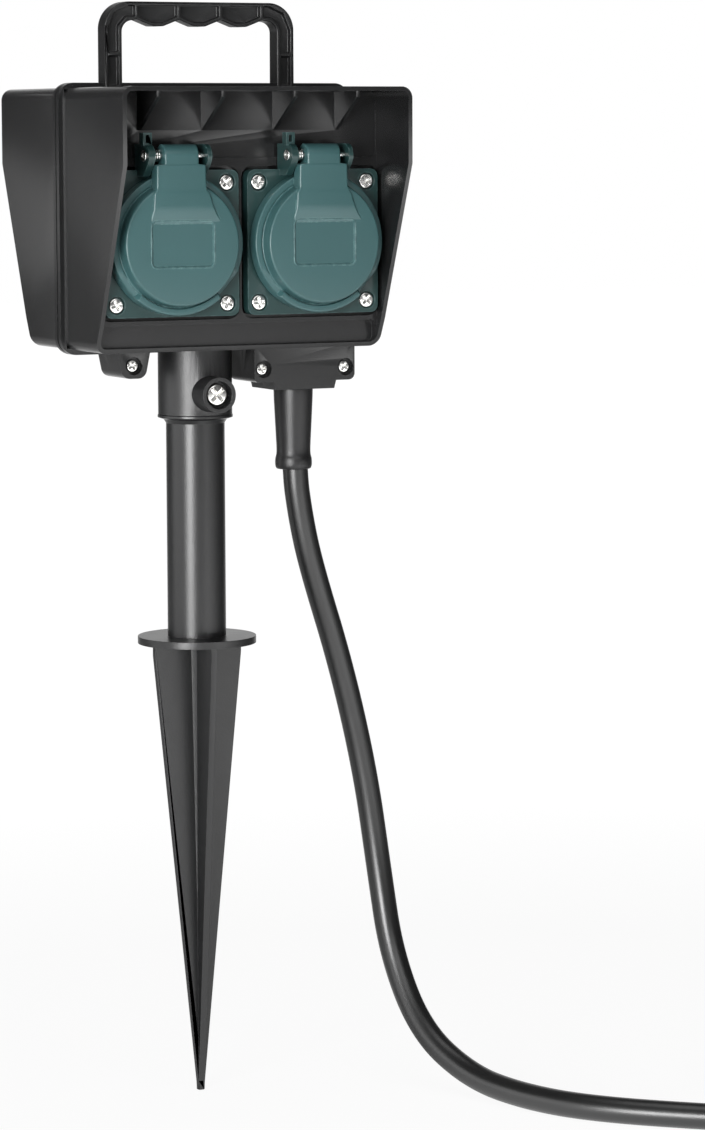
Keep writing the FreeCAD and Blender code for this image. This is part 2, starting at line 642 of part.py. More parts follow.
# Holes along Z and through the seam, taken from both half shells
bottom_holes = [
    rod("CollarHole", "collar_radius + slide_gap", "shell_wall + bead_proud + 3",
        "0", "0", head_floor + " - bead_proud - 1"),
    prism("BootHole", 16, "boot_spigot_radius", "box_wall + 2",
          cord_x, "0", head_floor + " - box_nose_drop - 1"),
    block("LegHoleLeft",
          handle_x + " - handle_half_width - slide_gap",
          handle_x + " - handle_half_width + leg_width + slide_gap",
          "-handle_thickness / 2 - slide_gap", "handle_thickness / 2 + slide_gap",
          head_roof + " - shell_wall - 1", head_roof + " + bead_proud + 1"),
    block("LegHoleRight",
          handle_x + " + handle_half_width - leg_width - slide_gap",
          handle_x + " + handle_half_width + slide_gap",
          "-handle_thickness / 2 - slide_gap", "handle_thickness / 2 + slide_gap",
          head_roof + " - shell_wall - 1", head_roof + " + bead_proud + 1"),
]
seam_holes = join("SeamHoles", bottom_holes)
shell_screw_places = [
    (lug_x, head_floor + " - lug_screw_drop", "lug_half_depth"),
    (cord_x + " - box_screw_offset", head_floor + " - box_screw_drop", "box_half_depth"),
    (cord_x + " + box_screw_offset", head_floor + " - box_screw_drop", "box_half_depth"),
]
front_tools = [seam_holes]
rear_tools = [seam_holes]
for number, (x, z, face) in enumerate(shell_screw_places, 1):
    seat = "(%s - screw_recess_depth)" % face
    front_tools.append(prism("ShellRecess%d" % number, 12, "screw_recess_radius", "screw_recess_depth + 1",
                             x, "-" + seat, z, "-Y"))
mirrored_half = add("Part::Mirroring", "MirroredHalf")
mirrored_half.Source = half
mirrored_half.Base = Vector(0, 0, 0)
mirrored_half.Normal = Vector(0, 1, 0)
keep(cut("FrontShell", half, front_tools), "front_shell")
keep(cut("RearShell", mirrored_half, rear_tools), "rear_shell")

# Handle: a bow with finger bumps, pocketed on both faces, with feet held inside the head
handle = add("PartDesign::Body", "Handle")
foot_top = head_roof + " - shell_wall - slide_gap"
foot_low = foot_top + " - foot_height"
grip_under = handle_top + " - grip_height"
leg_in = "(handle_half_width - leg_width)"


def mirrored_path(right_half):
    flipped = [("%s - (%s)" % (handle_x, c[0]),) + tuple(c[1:]) for c in reversed(right_half)]
    straight = [("%s + %s" % (handle_x, c[0]),) + tuple(c[1:]) for c in right_half]
    return straight + flipped


right_path = [
    ("bump_flat", grip_under + " - bump_height", "2.4"),
    ("bump_pitch / 2", grip_under, "2.0"),
    ("bump_pitch - bump_flat", grip_under + " - bump_height", "2.4"),
    ("bump_pitch + bump_flat", grip_under + " - bump_height", "2.4"),
    ("1.5 * bump_pitch", grip_under, "2.0"),
    (leg_in, grip_under + " - 0.9", "handle_inner_corner"),
    (leg_in, foot_top),
    (leg_in + " - foot_wing", foot_top),
    (leg_in + " - foot_wing", foot_low),
    ("handle_half_width + foot_wing", foot_low),
    ("handle_half_width + foot_wing", foot_top),
    ("handle_half_width", foot_top),
    ("handle_half_width", handle_top, "handle_corner"),
]
profile = new_sketch(handle, "BowProfile", "XZ_Plane")
outline(profile, mirrored_path(right_path))
pad(handle, "Bow", profile, "handle_thickness", symmetric=True)
doc.recompute()

rim_in = "handle_rim"
cell_edge = "(bump_pitch / 2 + handle_rim / 2)"
cell_low = grip_under + " - bump_height + handle_rim"
cell_side = grip_under + " + 0.8 * handle_rim"
cell_top = handle_top + " - handle_rim"
cells = []
for name, shift in (("Left", "-bump_pitch"), ("Middle", "0"), ("Right", "bump_pitch")):
    centre = "%s + (%s)" % (handle_x, shift)
    half_cell = "(bump_pitch / 2 - handle_rim / 2)"
    cells.append((name, [
        (centre + " - bump_flat", cell_low),
        (centre + " + bump_flat", cell_low),
        (centre + " + " + half_cell, cell_side),
        (centre + " + " + half_cell, cell_top),
        (centre + " - " + half_cell, cell_top),
        (centre + " - " + half_cell, cell_side),
    ]))
leg_rib = handle_top + " - 18.2"
for name, sign in (("Left", "-"), ("Right", "+")):
    def at(amount):
        return "%s %s (%s)" % (handle_x, sign, amount)

    corner_path = [
        (at("1.5 * bump_pitch + handle_rim / 2"), cell_side),
        (at(leg_in + " + 0.2 * handle_rim - 2"), cell_side),
        (at(leg_in + " + handle_rim"), cell_side + " - 3.4"),
        (at(leg_in + " + handle_rim"), leg_rib + " + handle_rim / 2"),
        (at("handle_half_width - handle_rim"), leg_rib + " + handle_rim / 2"),
        (at("handle_half_width - handle_rim"), cell_top + " - handle_corner + handle_rim"),
        (at("handle_half_width - handle_rim - 0.3 * (handle_corner - handle_rim)"),
         cell_top + " - 0.3 * (handle_corner - handle_rim)"),
        (at("handle_half_width - handle_corner"), cell_top),
        (at("1.5 * bump_pitch + handle_rim / 2"), cell_top),
    ]
    leg_path = [
        (at(leg_in + " + handle_rim"), head_roof + " + bead_proud - 1"),
        (at("handle_half_width - handle_rim"), head_roof + " + bead_proud - 1"),
        (at("handle_half_width - handle_rim"), leg_rib + " - handle_rim / 2"),
        (at(leg_in + " + handle_rim"), leg_rib + " - handle_rim / 2"),
    ]
    cells.append((name + "Corner", corner_path))
    cells.append((name + "Leg", leg_path))
for name, path in cells:
    profile = new_sketch(handle, name + "CellFront", "XZ_Plane", "handle_web / 2")
    outline(profile, path)
    pocket(handle, name + "PocketFront", profile, "handle_thickness", forward=True)
    profile = new_sketch(handle, name + "CellRear", "XZ_Plane", "-handle_web / 2")
    outline(profile, path)
    pocket(handle, name + "PocketRear", profile, "handle_thickness")
keep(handle, "handle")


# One socket, drawn with its plate's front in the XZ plane and its opening towards -Y.
# Its round walls have this many flats, and its hidden and small ones fewer.
round_flats = 32
hollow_flats = 16
hole_flats = 12
hole_fit = math.cos(math.pi / hole_flats)


def socket_plate(name):
    body = add("PartDesign::Body", name + "Body")
    profile = new_sketch(body, name + "FlangeProfile", "XZ_Plane")
    soft_rectangle(profile, "-plate_half", "plate_half", "-plate_half", "plate_half", "plate_corner")
    pad(body, name + "Flange", profile, "plate_thickness", backward=True)
    profile = new_sketch(body, name + "CupProfile", "XZ_Plane", "-plate_thickness + 0.5")
    outline(profile, bevelled("0", "0", "cup_half", "cup_bevel"))
    pad(body, name + "Cup", profile, cup_back + " - plate_thickness + 0.5", backward=True)
    ears = ((name + "LeftEar", "-(%s)" % left_ear_outer, "left_ear_thickness"),
            (name + "RightEar", right_ear_inner, "ear_thickness"))
    for ear, start, thickness in ears:
        profile = new_sketch(body, ear + "Profile", "YZ_Plane", start)
        ear_front = "-hinge_forward - barrel_radius"
        outline(profile, [
            ("1.9", "hinge_height - ear_root"),
            ("1.9", "hinge_height + barrel_radius"),
            ("-hinge_forward", "hinge_height + barrel_radius"),
            ("-hinge_forward - 0.5 * barrel_radius", "hinge_height + 0.866 * barrel_radius"),
            ("-hinge_forward - 0.866 * barrel_radius", "hinge_height + 0.5 * barrel_radius"),
            (ear_front, "hinge_height"),
            ("-hinge_forward - 0.93 * barrel_radius", "hinge_height - 0.4 * barrel_radius"),
            ("-hinge_forward - 0.6 * barrel_radius", "hinge_height - 0.85 * barrel_radius"),
            ("-hinge_forward + 1.5", "hinge_height - ear_root"),
        ])
        pad(body, ear, profile, thickness)
    profile = new_sketch(body, name + "TabProfile", "XZ_Plane", "hinge_forward + 0.6")
    tab_left = "-(%s) - tab_overhang" % left_ear_outer
    tab_low = "hinge_height + barrel_radius"
    rectangle(profile, tab_left, tab_left + " + tab_width", tab_low + " - 0.5", tab_low + " + tab_height")
    rectangle(profile, tab_left + " + tab_frame", tab_left + " + tab_width - tab_frame",
              tab_low + " + 0.6", tab_low + " + tab_height - 0.8 * tab_frame")
    pad(body, name + "Tab", profile, "tab_depth", backward=True)
    rim = prism(name + "Rim", round_flats, "rim_radius", "collar_height + 0.5", "0", "0.5", "0", "-Y")
    recess = prism(name + "Recess", round_flats, "recess_radius", "recess_depth + 1",
                   "0", "recess_depth - collar_height", "0", "-Y")
    tools = [recess]
    for side, x in (("Left", "-pin_half_spacing"), ("Right", "pin_half_spacing")):
        tools.append(prism(name + side + "Contact", hole_flats, "pin_hole_radius", "cup_floor + 2",
                           x, cup_back + " + 1", "0", "-Y"))
    for side, low in (("Low", "-earth_reach - 0.15"), ("High", "earth_reach - earth_thickness - 0.15")):
        tools.append(block(name + side + "EarthSlot", "-earth_width / 2 - 0.2", "earth_width / 2 + 0.2",
                           "recess_depth - collar_height - 1", cup_back + " + 1",
                           low, low + " + earth_thickness + 0.3"))
    for number, (a, b) in enumerate((("-", "-"), ("", "-"), ("-", ""), ("", ""))):
        tools.append(prism("%sScrewRecess%d" % (name, number), hole_flats, "screw_recess_radius",
                           "plate_recess_depth + 1", a + "screw_half_spacing", "plate_recess_depth",
                           b + "screw_half_spacing", "-Y"))
    tools.append(prism(name + "PinHole", hole_flats, "(pin_radius + pin_gap) / %.6f" % hole_fit, "40",
                       "-20", "-hinge_forward", "hinge_height", "+X"))
    return cut(name, join(name + "WithRim", [body, rim]), tools)


def socket_lid(name):
    body = add("PartDesign::Body", name + "Body")
    profile = new_sketch(body, name + "ArmProfile", "XZ_Plane", "ring_front - 0.6")
    outline(profile, [
        ("-arm_half_width", "arm_foot"),
        ("arm_half_width + 1.6", "arm_foot"),
        ("arm_right + 0.2", "hinge_height - 11.2"),
        ("arm_right", "hinge_height - barrel_radius + 0.6"),
        ("barrel_right", "hinge_height - barrel_radius + 0.6"),
        ("barrel_right", "hinge_height"),
        ("-barrel_left", "hinge_height"),
        ("-barrel_left", "hinge_height - barrel_radius + 0.8"),
        ("-arm_left", "hinge_height - barrel_radius + 0.8"),
        ("-arm_left - 0.1", "hinge_height - 11.2"),
        ("-arm_half_width", "arm_foot + 5"),
    ])
    pad(body, name + "Arm", profile, "crown_front + arm_proud - ring_front + 0.6")
    profile = new_sketch(body, name + "BarrelProfile", "YZ_Plane", "-barrel_left")
    circle(profile, "-hinge_forward", "hinge_height", "barrel_radius")
    pad(body, name + "Barrel", profile, "barrel_left + barrel_right")
    profile = new_sketch(body, name + "ThumbProfile", "XZ_Plane", "ring_front - 0.5")
    thumb_low = "-sqrt(lid_radius * lid_radius - thumb_half_width * thumb_half_width) + 0.9"
    thumb_high = "-sqrt(crown_radius * crown_radius - thumb_half_width * thumb_half_width) + 1.2"
    outline(profile, [
        ("-thumb_half_width", thumb_high),
        ("-thumb_half_width - 0.6", thumb_low),
        ("-thumb_half_width * 0.52", "-lid_radius * 0.935"),
        ("0", "-lid_radius * 0.99"),
        ("thumb_half_width * 0.52", "-lid_radius * 0.935"),
        ("thumb_half_width + 0.6", thumb_low),
        ("thumb_half_width", thumb_high),
    ])
    pad(body, name + "Thumb", profile, "thumb_height + 0.5")
    ring = prism(name + "Ring", round_flats, "lid_radius", "ring_front - lid_lift",
                 "0", "-lid_lift", "0", "-Y")
    crown = prism(name + "Crown", round_flats, "crown_radius", "crown_front - ring_front + 0.5",
                  "0", "-ring_front + 0.5", "0", "-Y")
    hollow = prism(name + "Hollow", hollow_flats, "lid_inner_radius + 0.2", "pad_front + 1",
                   "0", "1", "0", "-Y")
    label = block(name + "Label", "-label_half_width", "label_half_width",
                  "-crown_front - 0.5", "-crown_front + label_depth",
                  "-label_half_height", "label_half_height")
    bore = prism(name + "Bore", hole_flats, "(pin_radius + pin_gap) / %.6f" % hole_fit,
                 "barrel_left + barrel_right + 2", "-barrel_left - 1", "-hinge_forward", "hinge_height", "+X")
    return cut(name, join(name + "Solid", [body, ring, crown]), [hollow, label, bore])


def socket_pieces(prefix, name, x, turned_round):
    rotation = Rotation(Vector(0, 0, 1), 180) if turned_round else Rotation()
    y = plate_plane if turned_round else "-(%s)" % plate_plane

    def seat(obj, label):
        place(obj, x, y, socket_level, rotation)
        return keep(obj, label)

    seat(socket_plate(name + "Plate"), prefix + "_plate")
    seat(socket_lid(name + "Lid"), prefix + "_lid")

    lid_pad = add("Part::Prism", name + "Pad")
    lid_pad.Polygon = hollow_flats
    lid_pad.setExpression("Circumradius", bound("lid_inner_radius - 0.1"))
    lid_pad.setExpression("Height", bound("pad_front - collar_height - pad_gap"))
    offset = "(collar_height + pad_gap)"
    pad_y = "%s %s %s" % (y, "+" if turned_round else "-", offset)
    place(lid_pad, x, pad_y, socket_level, rotation.multiply(axis_turn["-Y"]))
    keep(lid_pad, prefix + "_lid_pad")

    seal = add("PartDesign::Body", name + "Seal")
    profile = new_sketch(seal, name + "SealProfile", "XZ_Plane", "-plate_thickness")
    rectangle(profile, "-plate_half + 0.5", "plate_half - 0.5", "-plate_half + 0.5", "plate_half - 0.5")
    outline(profile, bevelled("0", "0", "cup_half + cup_gap + 0.1", opening_bevel))
    pad(seal, name + "SealPad", profile, "seal_thickness", backward=True)
    seat(seal, prefix + "_seal")

    contact = add("PartDesign::Body", name + "Block")
    profile = new_sketch(contact, name + "BlockProfile", "XZ_Plane", "-(%s)" % cup_back)
    rectangle(profile, "-block_half_width", "block_half_width", "-block_half_height", "block_half_height")
    for sign in ("-", "+"):
        rectangle(profile, "%spin_half_spacing - sleeve_half - slide_gap" % sign,
                  "%spin_half_spacing + sleeve_half + slide_gap" % sign,
                  "-sleeve_half - slide_gap", "sleeve_half + slide_gap")
    pad(contact, name + "BlockPad", profile, "block_depth", backward=True)
    seat(contact, prefix + "_contact_block")

    sleeves = add("PartDesign::Body", name + "Sleeves")
    sleeves.AllowCompound = True
    profile = new_sketch(sleeves, name + "SleeveProfile", "XZ_Plane", "-(%s)" % cup_back)
    for sign in ("-", "+"):
        rectangle(profile, "%spin_half_spacing - sleeve_half" % sign,
                  "%spin_half_spacing + sleeve_half" % sign,
                  "-sleeve_half", "sleeve_half")
        rectangle(profile, "%spin_half_spacing - sleeve_half + sleeve_wall" % sign,
                  "%spin_half_spacing + sleeve_half - sleeve_wall" % sign,
                  "-sleeve_half + sleeve_wall", "sleeve_half - sleeve_wall")
    pad(sleeves, name + "SleevePad", profile, "block_depth", backward=True)
    seat(sleeves, prefix + "_contacts")

    earth = add("PartDesign::Body", name + "Earth")
    profile = new_sketch(earth, name + "EarthProfile", "YZ_Plane")
    back = "(%s + block_depth)" % cup_back
    arm = [
        (back + " + earth_thickness", "earth_reach"),
        ("11", "earth_reach"),
        ("7", "earth_bulge + earth_thickness"),
        ("3.6", "earth_reach - 0.3"),
        ("3.1", "earth_reach - 1.1"),
        ("7", "earth_bulge"),
        ("11.4", "earth_reach - earth_thickness"),
        (back, "earth_reach - earth_thickness"),
    ]
    outline(profile, arm + [(c[0], "-(%s)" % c[1]) for c in reversed(arm)])
    pad(earth, name + "EarthStrap", profile, "earth_width", symmetric=True)
    seat(earth, prefix + "_earth_clip")

    shank = prism(name + "PinShank", 8, "pin_radius", "%s + %s + 0.6" % (left_ear_outer, right_ear_outer),
                  "-(%s)" % left_ear_outer, "-hinge_forward", "hinge_height", "+X")
    head = prism(name + "PinHead", 8, "pin_head_radius", "pin_head_height",
                 "-(%s) - pin_head_height" % left_ear_outer, "-hinge_forward", "hinge_height", "+X")
    seat(join(name + "Pin", [head, shank]), prefix + "_hinge_pin")


socket_pieces("front_left", "FrontLeft", sockets_x[0], False)
socket_pieces("front_right", "FrontRight", sockets_x[1], False)
socket_pieces("rear_left", "RearLeft", sockets_x[1], True)
socket_pieces("rear_right", "RearRight", sockets_x[0], True)

# Cord boot and cord clamp. The cord is drawn with flats, as all that it passes through.
cord_flats = 6
boot_top = "(%s - box_nose_drop)" % head_floor
boot_end = "(%s - box_nose_drop - boot_length)" % head_floor
skin = tapered("BootSkin", 16, [
    (boot_end, "boot_bulb_radius - 0.3"),
    (boot_end + " + 3.2", "boot_bulb_radius"),
    (boot_end + " + 6.4", "boot_neck_radius"),
    (boot_top, "boot_radius"),
])
spigot = prism("BootSpigot", 16, "boot_spigot_radius - slide_gap", "box_wall + 0.5",
               "0", "0", boot_top + " - 0.5")
bore = prism("BootBore", cord_flats, "cord_radius + cord_gap", "boot_length + box_wall + 2",
             "0", "0", boot_end + " - 1", "+Z", 180.0 / cord_flats)
boot = cut("Boot", join("BootSolid", [skin, spigot]), [bore])
place(boot, cord_x, "0", "0")
keep(boot, "cord_boot")
clamp_low = boot_top + " + box_wall + 0.3"
keep(block("CordClamp", cord_x + " - clamp_half_width", cord_x + " + clamp_half_width",
           "-cord_radius - clamp_thickness", "-cord_radius", clamp_low, clamp_low + " + clamp_height"),
     "cord_clamp")
doc.recompute()


# Tubes along a route: straight runs joined by the largest tangent arcs that they allow
def route_edges(points, label):
    edges = []
    position = points[0]
    radii = []
    for before, corner, after in zip(points, points[1:], points[2:]):
        way_in = corner - before
        way_out = after - corner
        turn = way_in.getAngle(way_out)
        reach = 0.45 * min(way_in.Length, way_out.Length)
        radii.append(reach / math.tan(turn / 2.0))
        way_in.normalize()
        way_out.normalize()
        start = corner - way_in * reach
        end = corner + way_out * reach
        inward = (way_out - way_in).normalize()
        centre = corner + inward * (radii[-1] / math.cos(turn / 2.0))
        middle = centre - inward * radii[-1]
        edges.append(Part.LineSegment(position, start).toShape())
        edges.append(Part.Arc(start, middle, end).toShape())
        position = end
    edges.append(Part.LineSegment(position, points[-1]).toShape())
    print(label, "arc radii", [round(r, 1) for r in radii])
    return edges


def polygon_section(centre, direction, radius, sides):
    frame = Rotation(Vector(0, 0, 1), direction)
    ring = []
    for k in range(sides):
        angle = 2.0 * math.pi * (k + 0.5) / sides
        ring.append(centre + frame.multVec(Vector(radius * math.cos(angle), radius * math.sin(angle), 0)))
    return Part.makePolygon(ring + [ring[0]])


def tube(edges, radius, label, sides):
    spine = Part.Wire(edges)
    first = edges[0]
    start = first.valueAt(first.FirstParameter)
    direction = first.tangentAt(first.FirstParameter)
    section = polygon_section(start, direction, radius, sides)
    area = 0.5 * sides * radius * radius * math.sin(2.0 * math.pi / sides)
    shape = spine.makePipeShell([section], True, False)
    expected = area * spine.Length
    print(label, "length", round(spine.Length, 1), "volume over section times length",
          round(shape.Volume / expected, 4))
    return shape


def feature(name, shape, label):
    obj = add("Part::Feature", name)
    obj.Shape = shape
    obj.Placement = Placement()
    return keep(obj, label)


# Coil: one tube that spirals in on the ground, climbs in the half turn where it reverses,
# and spirals out again on top
cord_r = value("cord_radius")
coil_turns = value("coil_turns")
coil_middle = Vector(value("coil_x"), value("coil_y"), 0)
half_turns = coil_turns / 2.0
exit_way = Vector(0, 1, 0)
exit_angle = -math.atan(value("coil_pitch / (2 * pi * coil_radius)"))
entry_angle = exit_angle - 2.0 * math.pi * coil_turns


def coil_point(t):
    radius = value("coil_radius") - value("coil_pitch") * (half_turns - abs(t - half_turns))
    rise = min(1.0, max(0.0, (t - half_turns + 0.25) / 0.5))
    height = cord_r + value("coil_layer") * rise * rise * (3.0 - 2.0 * rise)
    angle = entry_angle + 2.0 * math.pi * t
    return coil_middle + Vector(radius * math.cos(angle), radius * math.sin(angle), height)


def coil_direction(t):
    if t >= coil_turns:
        return Vector(exit_way)
    step = coil_point(t + 0.002) - coil_point(max(0.0, t - 0.002))
    return step.normalize()


def biarc(start, start_way, end, end_way):
    chord = end - start
    both = start_way + end_way
    spread = 2.0 * (1.0 - start_way.dot(end_way))
    reach = (-chord.dot(both) + math.sqrt(chord.dot(both) ** 2 + spread * chord.dot(chord))) / spread
    first = start + start_way * reach
    last = end - end_way * reach
    joint = (first + last) * 0.5
    pieces = []
    for a, b, c in ((start, first, joint), (joint, last, end)):
        bisector = ((a - b).normalize() + (c - b).normalize()).normalize()
        half_angle = (a - b).getAngle(c - b) / 2.0
        side = (a - b).Length
        radius = side * math.tan(half_angle)
        centre = b + bisector * (side / math.cos(half_angle))
        pieces.append(Part.Arc(a, centre - bisector * radius, c).toShape())
    return pieces


stops = [0.0]
quarter = half_turns - 0.25 * math.floor(half_turns / 0.25)
while quarter < coil_turns:
    if quarter > 0.05:
        stops.append(quarter)
    quarter += 0.25
stops.append(coil_turns)
entry_way = coil_direction(0.0)
entry_way.z = 0.0
coil_entry = coil_point(0.0) - entry_way * (2.0 * cord_r)
coil_exit = coil_point(coil_turns) + exit_way * (2.0 * cord_r)
coil_edges = [Part.LineSegment(coil_entry, coil_point(0.0)).toShape()]
for low, high in zip(stops, stops[1:]):
    coil_edges += biarc(coil_point(low), coil_direction(low), coil_point(high), coil_direction(high))
coil_edges.append(Part.LineSegment(coil_point(coil_turns), coil_exit).toShape())
samples = [coil_point(coil_turns * k / 600.0) for k in range(601)]
apart = int(600 * 0.5 / coil_turns)
least = min((samples[i] - samples[j]).Length for i in range(601) for j in range(i + apart, 601))
print("coil least gap to itself", round(least - 2.0 * cord_r, 2))
feature("Coil", tube(coil_edges, cord_r, "cord_coil", cord_flats), "cord_coil")

# Cord from the cable box down to the ground and on to the coil
cord_top = Vector(value(cord_x), 0, value(boot_top + " + box_wall + cord_tail_up"))
cord_points = [
    cord_top,
    Vector(value(cord_x), 0, value(boot_end) - 12.4),
    Vector(45.6, 0, 188.5),
    Vector(57.5, 0.2, 152.0),
    Vector(66.6, -1, 112.0),
    Vector(70.6, -4, 76.0),
    Vector(71.6, -12, 45.5),
    Vector(75.0, -29, 20.0),
    Vector(83.5, -51, 7.0),
    Vector(91.0, -77, cord_r),
    Vector(104.0, -103.5, cord_r),
    coil_entry - entry_way * 47.0,
    coil_entry,
]
cord_edges = route_edges(cord_points, "cord")
feature("Cord", tube(cord_edges, cord_r, "cord", cord_flats), "cord")

# Cord from the top of the coil to the plug
plug_axis = value("plug_radius")
tail_points = [
    coil_exit,
    coil_exit + exit_way * 22.0,
    Vector(coil_exit.x, coil_exit.y, plug_axis) + exit_way * 44.0,
    Vector(coil_exit.x, coil_exit.y, plug_axis) + exit_way * 66.0,
]
tail_edges = route_edges(tail_points, "cord_tail")
feature("CordTail", tube(tail_edges, cord_r, "cord_tail", cord_flats), "cord_tail")

# Plug: turned body with a cord sleeve, two pins, and an earth strip on each side
plug_foot = tail_points[-1]
plug_turn = Rotation(Vector(0, 1, 0), exit_way)
plug_end = "(plug_sleeve_length + plug_length)"
plug_skin = tapered("PlugSkin", 24, [
    ("0", "plug_sleeve_radius - 1.2"),
    ("plug_sleeve_length", "plug_sleeve_radius"),
    ("plug_sleeve_length + 7", "plug_grip_radius - 1.5"),
    (plug_end + " - plug_front_length - 1", "plug_grip_radius"),
    (plug_end + " - plug_front_length", "plug_radius"),
    (plug_end, "plug_radius"),
], "+Y")
grooves = []
groove_heights = (("Top", "plug_radius - 2.2", "plug_radius + 1"),
                  ("Bottom", "-plug_radius - 1", "-plug_radius + 2.2"))
for name, low, high in groove_heights:
    grooves.append(block("EarthGroove" + name, "-plug_earth_width / 2 - 0.2", "plug_earth_width / 2 + 0.2",
                         plug_end + " - plug_front_length + 1.5", plug_end + " + 1", low, high))
plug = cut("Plug", plug_skin, grooves)
plug.Placement = Placement(plug_foot, plug_turn)
keep(plug, "plug_body")

strips = []
for name, sign in (("Top", "+"), ("Bottom", "-")):
    low = "plug_radius - 2.2" if sign == "+" else "-plug_radius + 1.2"
    strips.append(block("EarthStrip" + name, "-plug_earth_width / 2", "plug_earth_width / 2",
                        plug_end + " - plug_front_length + 1.5", plug_end, low, low + " + 1"))
strip_pair = add("Part::Compound", "EarthStrips")
strip_pair.Links = strips
strip_pair.Placement = Placement(plug_foot, plug_turn)
keep(strip_pair, "plug_earth_strips")

plug_pins = add("PartDesign::Body", "PlugPins")
plug_pins.AllowCompound = True
for name, x in (("Left", "-pin_half_spacing"), ("Right", "pin_half_spacing")):
    profile = new_sketch(plug_pins, name + "PinSketch", "XZ_Plane", "-(%s)" % plug_end)
    circle(profile, x, "0", "plug_pin_radius")
    pad(plug_pins, name + "PlugPin", profile, "plug_pin_length", backward=True)
plug_pins.Placement = Placement(plug_foot, plug_turn)
keep(plug_pins, "plug_pins")

doc.recompute()
faults = []
for obj in doc.Objects:
    if "Invalid" in obj.State or "Error" in obj.State:
        faults.append("%s is %s" % (obj.Name, obj.State))
for name, obj in subparts:
    if obj.Shape.isNull() or not obj.Shape.isValid():
        faults.append("%s has no valid shape" % name)
if faults:
    raise RuntimeError("; ".join(faults))

os.makedirs("parts", exist_ok=True)
for name, obj in subparts:
    obj.Shape.exportStep("parts/%s.step" % name)
print(len(subparts), "pieces written")
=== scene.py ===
import math
import bpy
import bmesh
import numpy as np
from mathutils import Matrix, Vector


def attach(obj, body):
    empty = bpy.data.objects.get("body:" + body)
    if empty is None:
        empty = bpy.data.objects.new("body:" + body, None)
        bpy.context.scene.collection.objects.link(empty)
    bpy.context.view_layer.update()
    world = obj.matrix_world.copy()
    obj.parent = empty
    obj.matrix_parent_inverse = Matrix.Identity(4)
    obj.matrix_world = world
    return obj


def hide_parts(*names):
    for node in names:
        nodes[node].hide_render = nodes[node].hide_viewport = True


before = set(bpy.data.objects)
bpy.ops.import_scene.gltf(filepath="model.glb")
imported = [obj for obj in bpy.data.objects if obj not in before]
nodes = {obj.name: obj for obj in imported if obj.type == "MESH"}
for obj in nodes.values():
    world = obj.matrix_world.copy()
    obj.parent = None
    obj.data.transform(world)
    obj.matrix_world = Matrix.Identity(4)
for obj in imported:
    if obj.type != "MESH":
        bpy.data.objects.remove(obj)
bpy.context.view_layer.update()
fixedBody = "head_and_spike"
mm = 0.001
print("frame loaded,", len(nodes), "nodes")

# main sizes in millimetres, as the solids have them
layout = {
    "headX": 4.0,
    "headFloor": 270.1,
    "socketLevel": 307.5,
    "deckFront": 25.0,
    "plateFront": 33.4,
    "socketSpacing": 26.9,
    "screwSpacing": 20.85,
    "hingeForward": 6.5,
    "hingeHeight": 30.2,
    "cordX": 38.6,
}
sockets = {}
socketSides = (("front_left", -1, -1), ("front_right", 1, -1), ("rear_left", 1, 1), ("rear_right", -1, 1))
for name, side, facing in socketSides:
    sockets[name] = {"x": layout["headX"] + side * layout["socketSpacing"], "facing": facing}


def placed(name, data):
    item = bpy.data.objects.new(name, data)
    bpy.context.scene.collection.objects.link(item)
    return item


# camera
cameraSettings = {
    "place": (-558.29, -1262.04, 346.28),
    "right": (0.89723, -0.44156, -0.00364),
    "up": (0.05247, 0.09842, 0.99376),
    "forward": (0.43844, 0.89182, -0.11147),
    "lens": 123.64,
    "sensor": 36.0,
}
camera = placed("camera", bpy.data.cameras.new("camera"))
right, up, forward = (Vector(cameraSettings[k]) for k in ("right", "up", "forward"))
turn = Matrix((right, up, -forward)).transposed().to_4x4()
camera.matrix_world = Matrix.Translation(Vector(cameraSettings["place"]) * mm) @ turn
camera.data.sensor_fit = "VERTICAL"
camera.data.sensor_height = camera.data.sensor_width = cameraSettings["sensor"]
camera.data.lens = cameraSettings["lens"]
camera.data.clip_start = 0.01
camera.data.clip_end = 20.0
bpy.context.scene.camera = camera
print("camera set")


# mesh helpers
meshSettings = {
    "sharpAngle": 40.0,
    "largestRounding": 0.48,  # share of the edge beside it that a rounded corner may take up
    "mergeDistance": 1e-7,
    "smallestEdge": 1e-8,
}


def gridFaces(rows, columns, closedRows=False, closedColumns=False):
    # quads between neighbouring rows and columns of a grid that is stored row by row
    rowCount = rows if closedRows else rows - 1
    columnCount = columns if closedColumns else columns - 1
    i, j = np.meshgrid(np.arange(rowCount), np.arange(columnCount), indexing="ij")
    i, j = i.ravel(), j.ravel()
    i2, j2 = (i + 1) % rows, (j + 1) % columns
    return np.stack([i * columns + j, i * columns + j2, i2 * columns + j2, i2 * columns + j], axis=1).tolist()


def turnedGrid(profile, count, centre, axis):
    # each profile point (radius, distance) is carried round the axis: p = centre + axis*d + r*(u cos a + v sin a)
    axis = np.array(axis, float)
    helper = np.array([0.0, 0.0, 1.0]) if abs(axis[2]) < 0.9 else np.array([1.0, 0.0, 0.0])
    u = np.cross(helper, axis)
    u /= np.linalg.norm(u)
    v = np.cross(axis, u)
    profile = np.array(profile, float)
    angle = np.linspace(0.0, 2.0 * np.pi, count, endpoint=False)
    ring = np.cos(angle)[:, None] * u + np.sin(angle)[:, None] * v
    points = profile[:, 0][:, None, None] * ring[None] + profile[:, 1][:, None, None] * axis
    return (points + np.array(centre, float)).reshape(-1, 3)


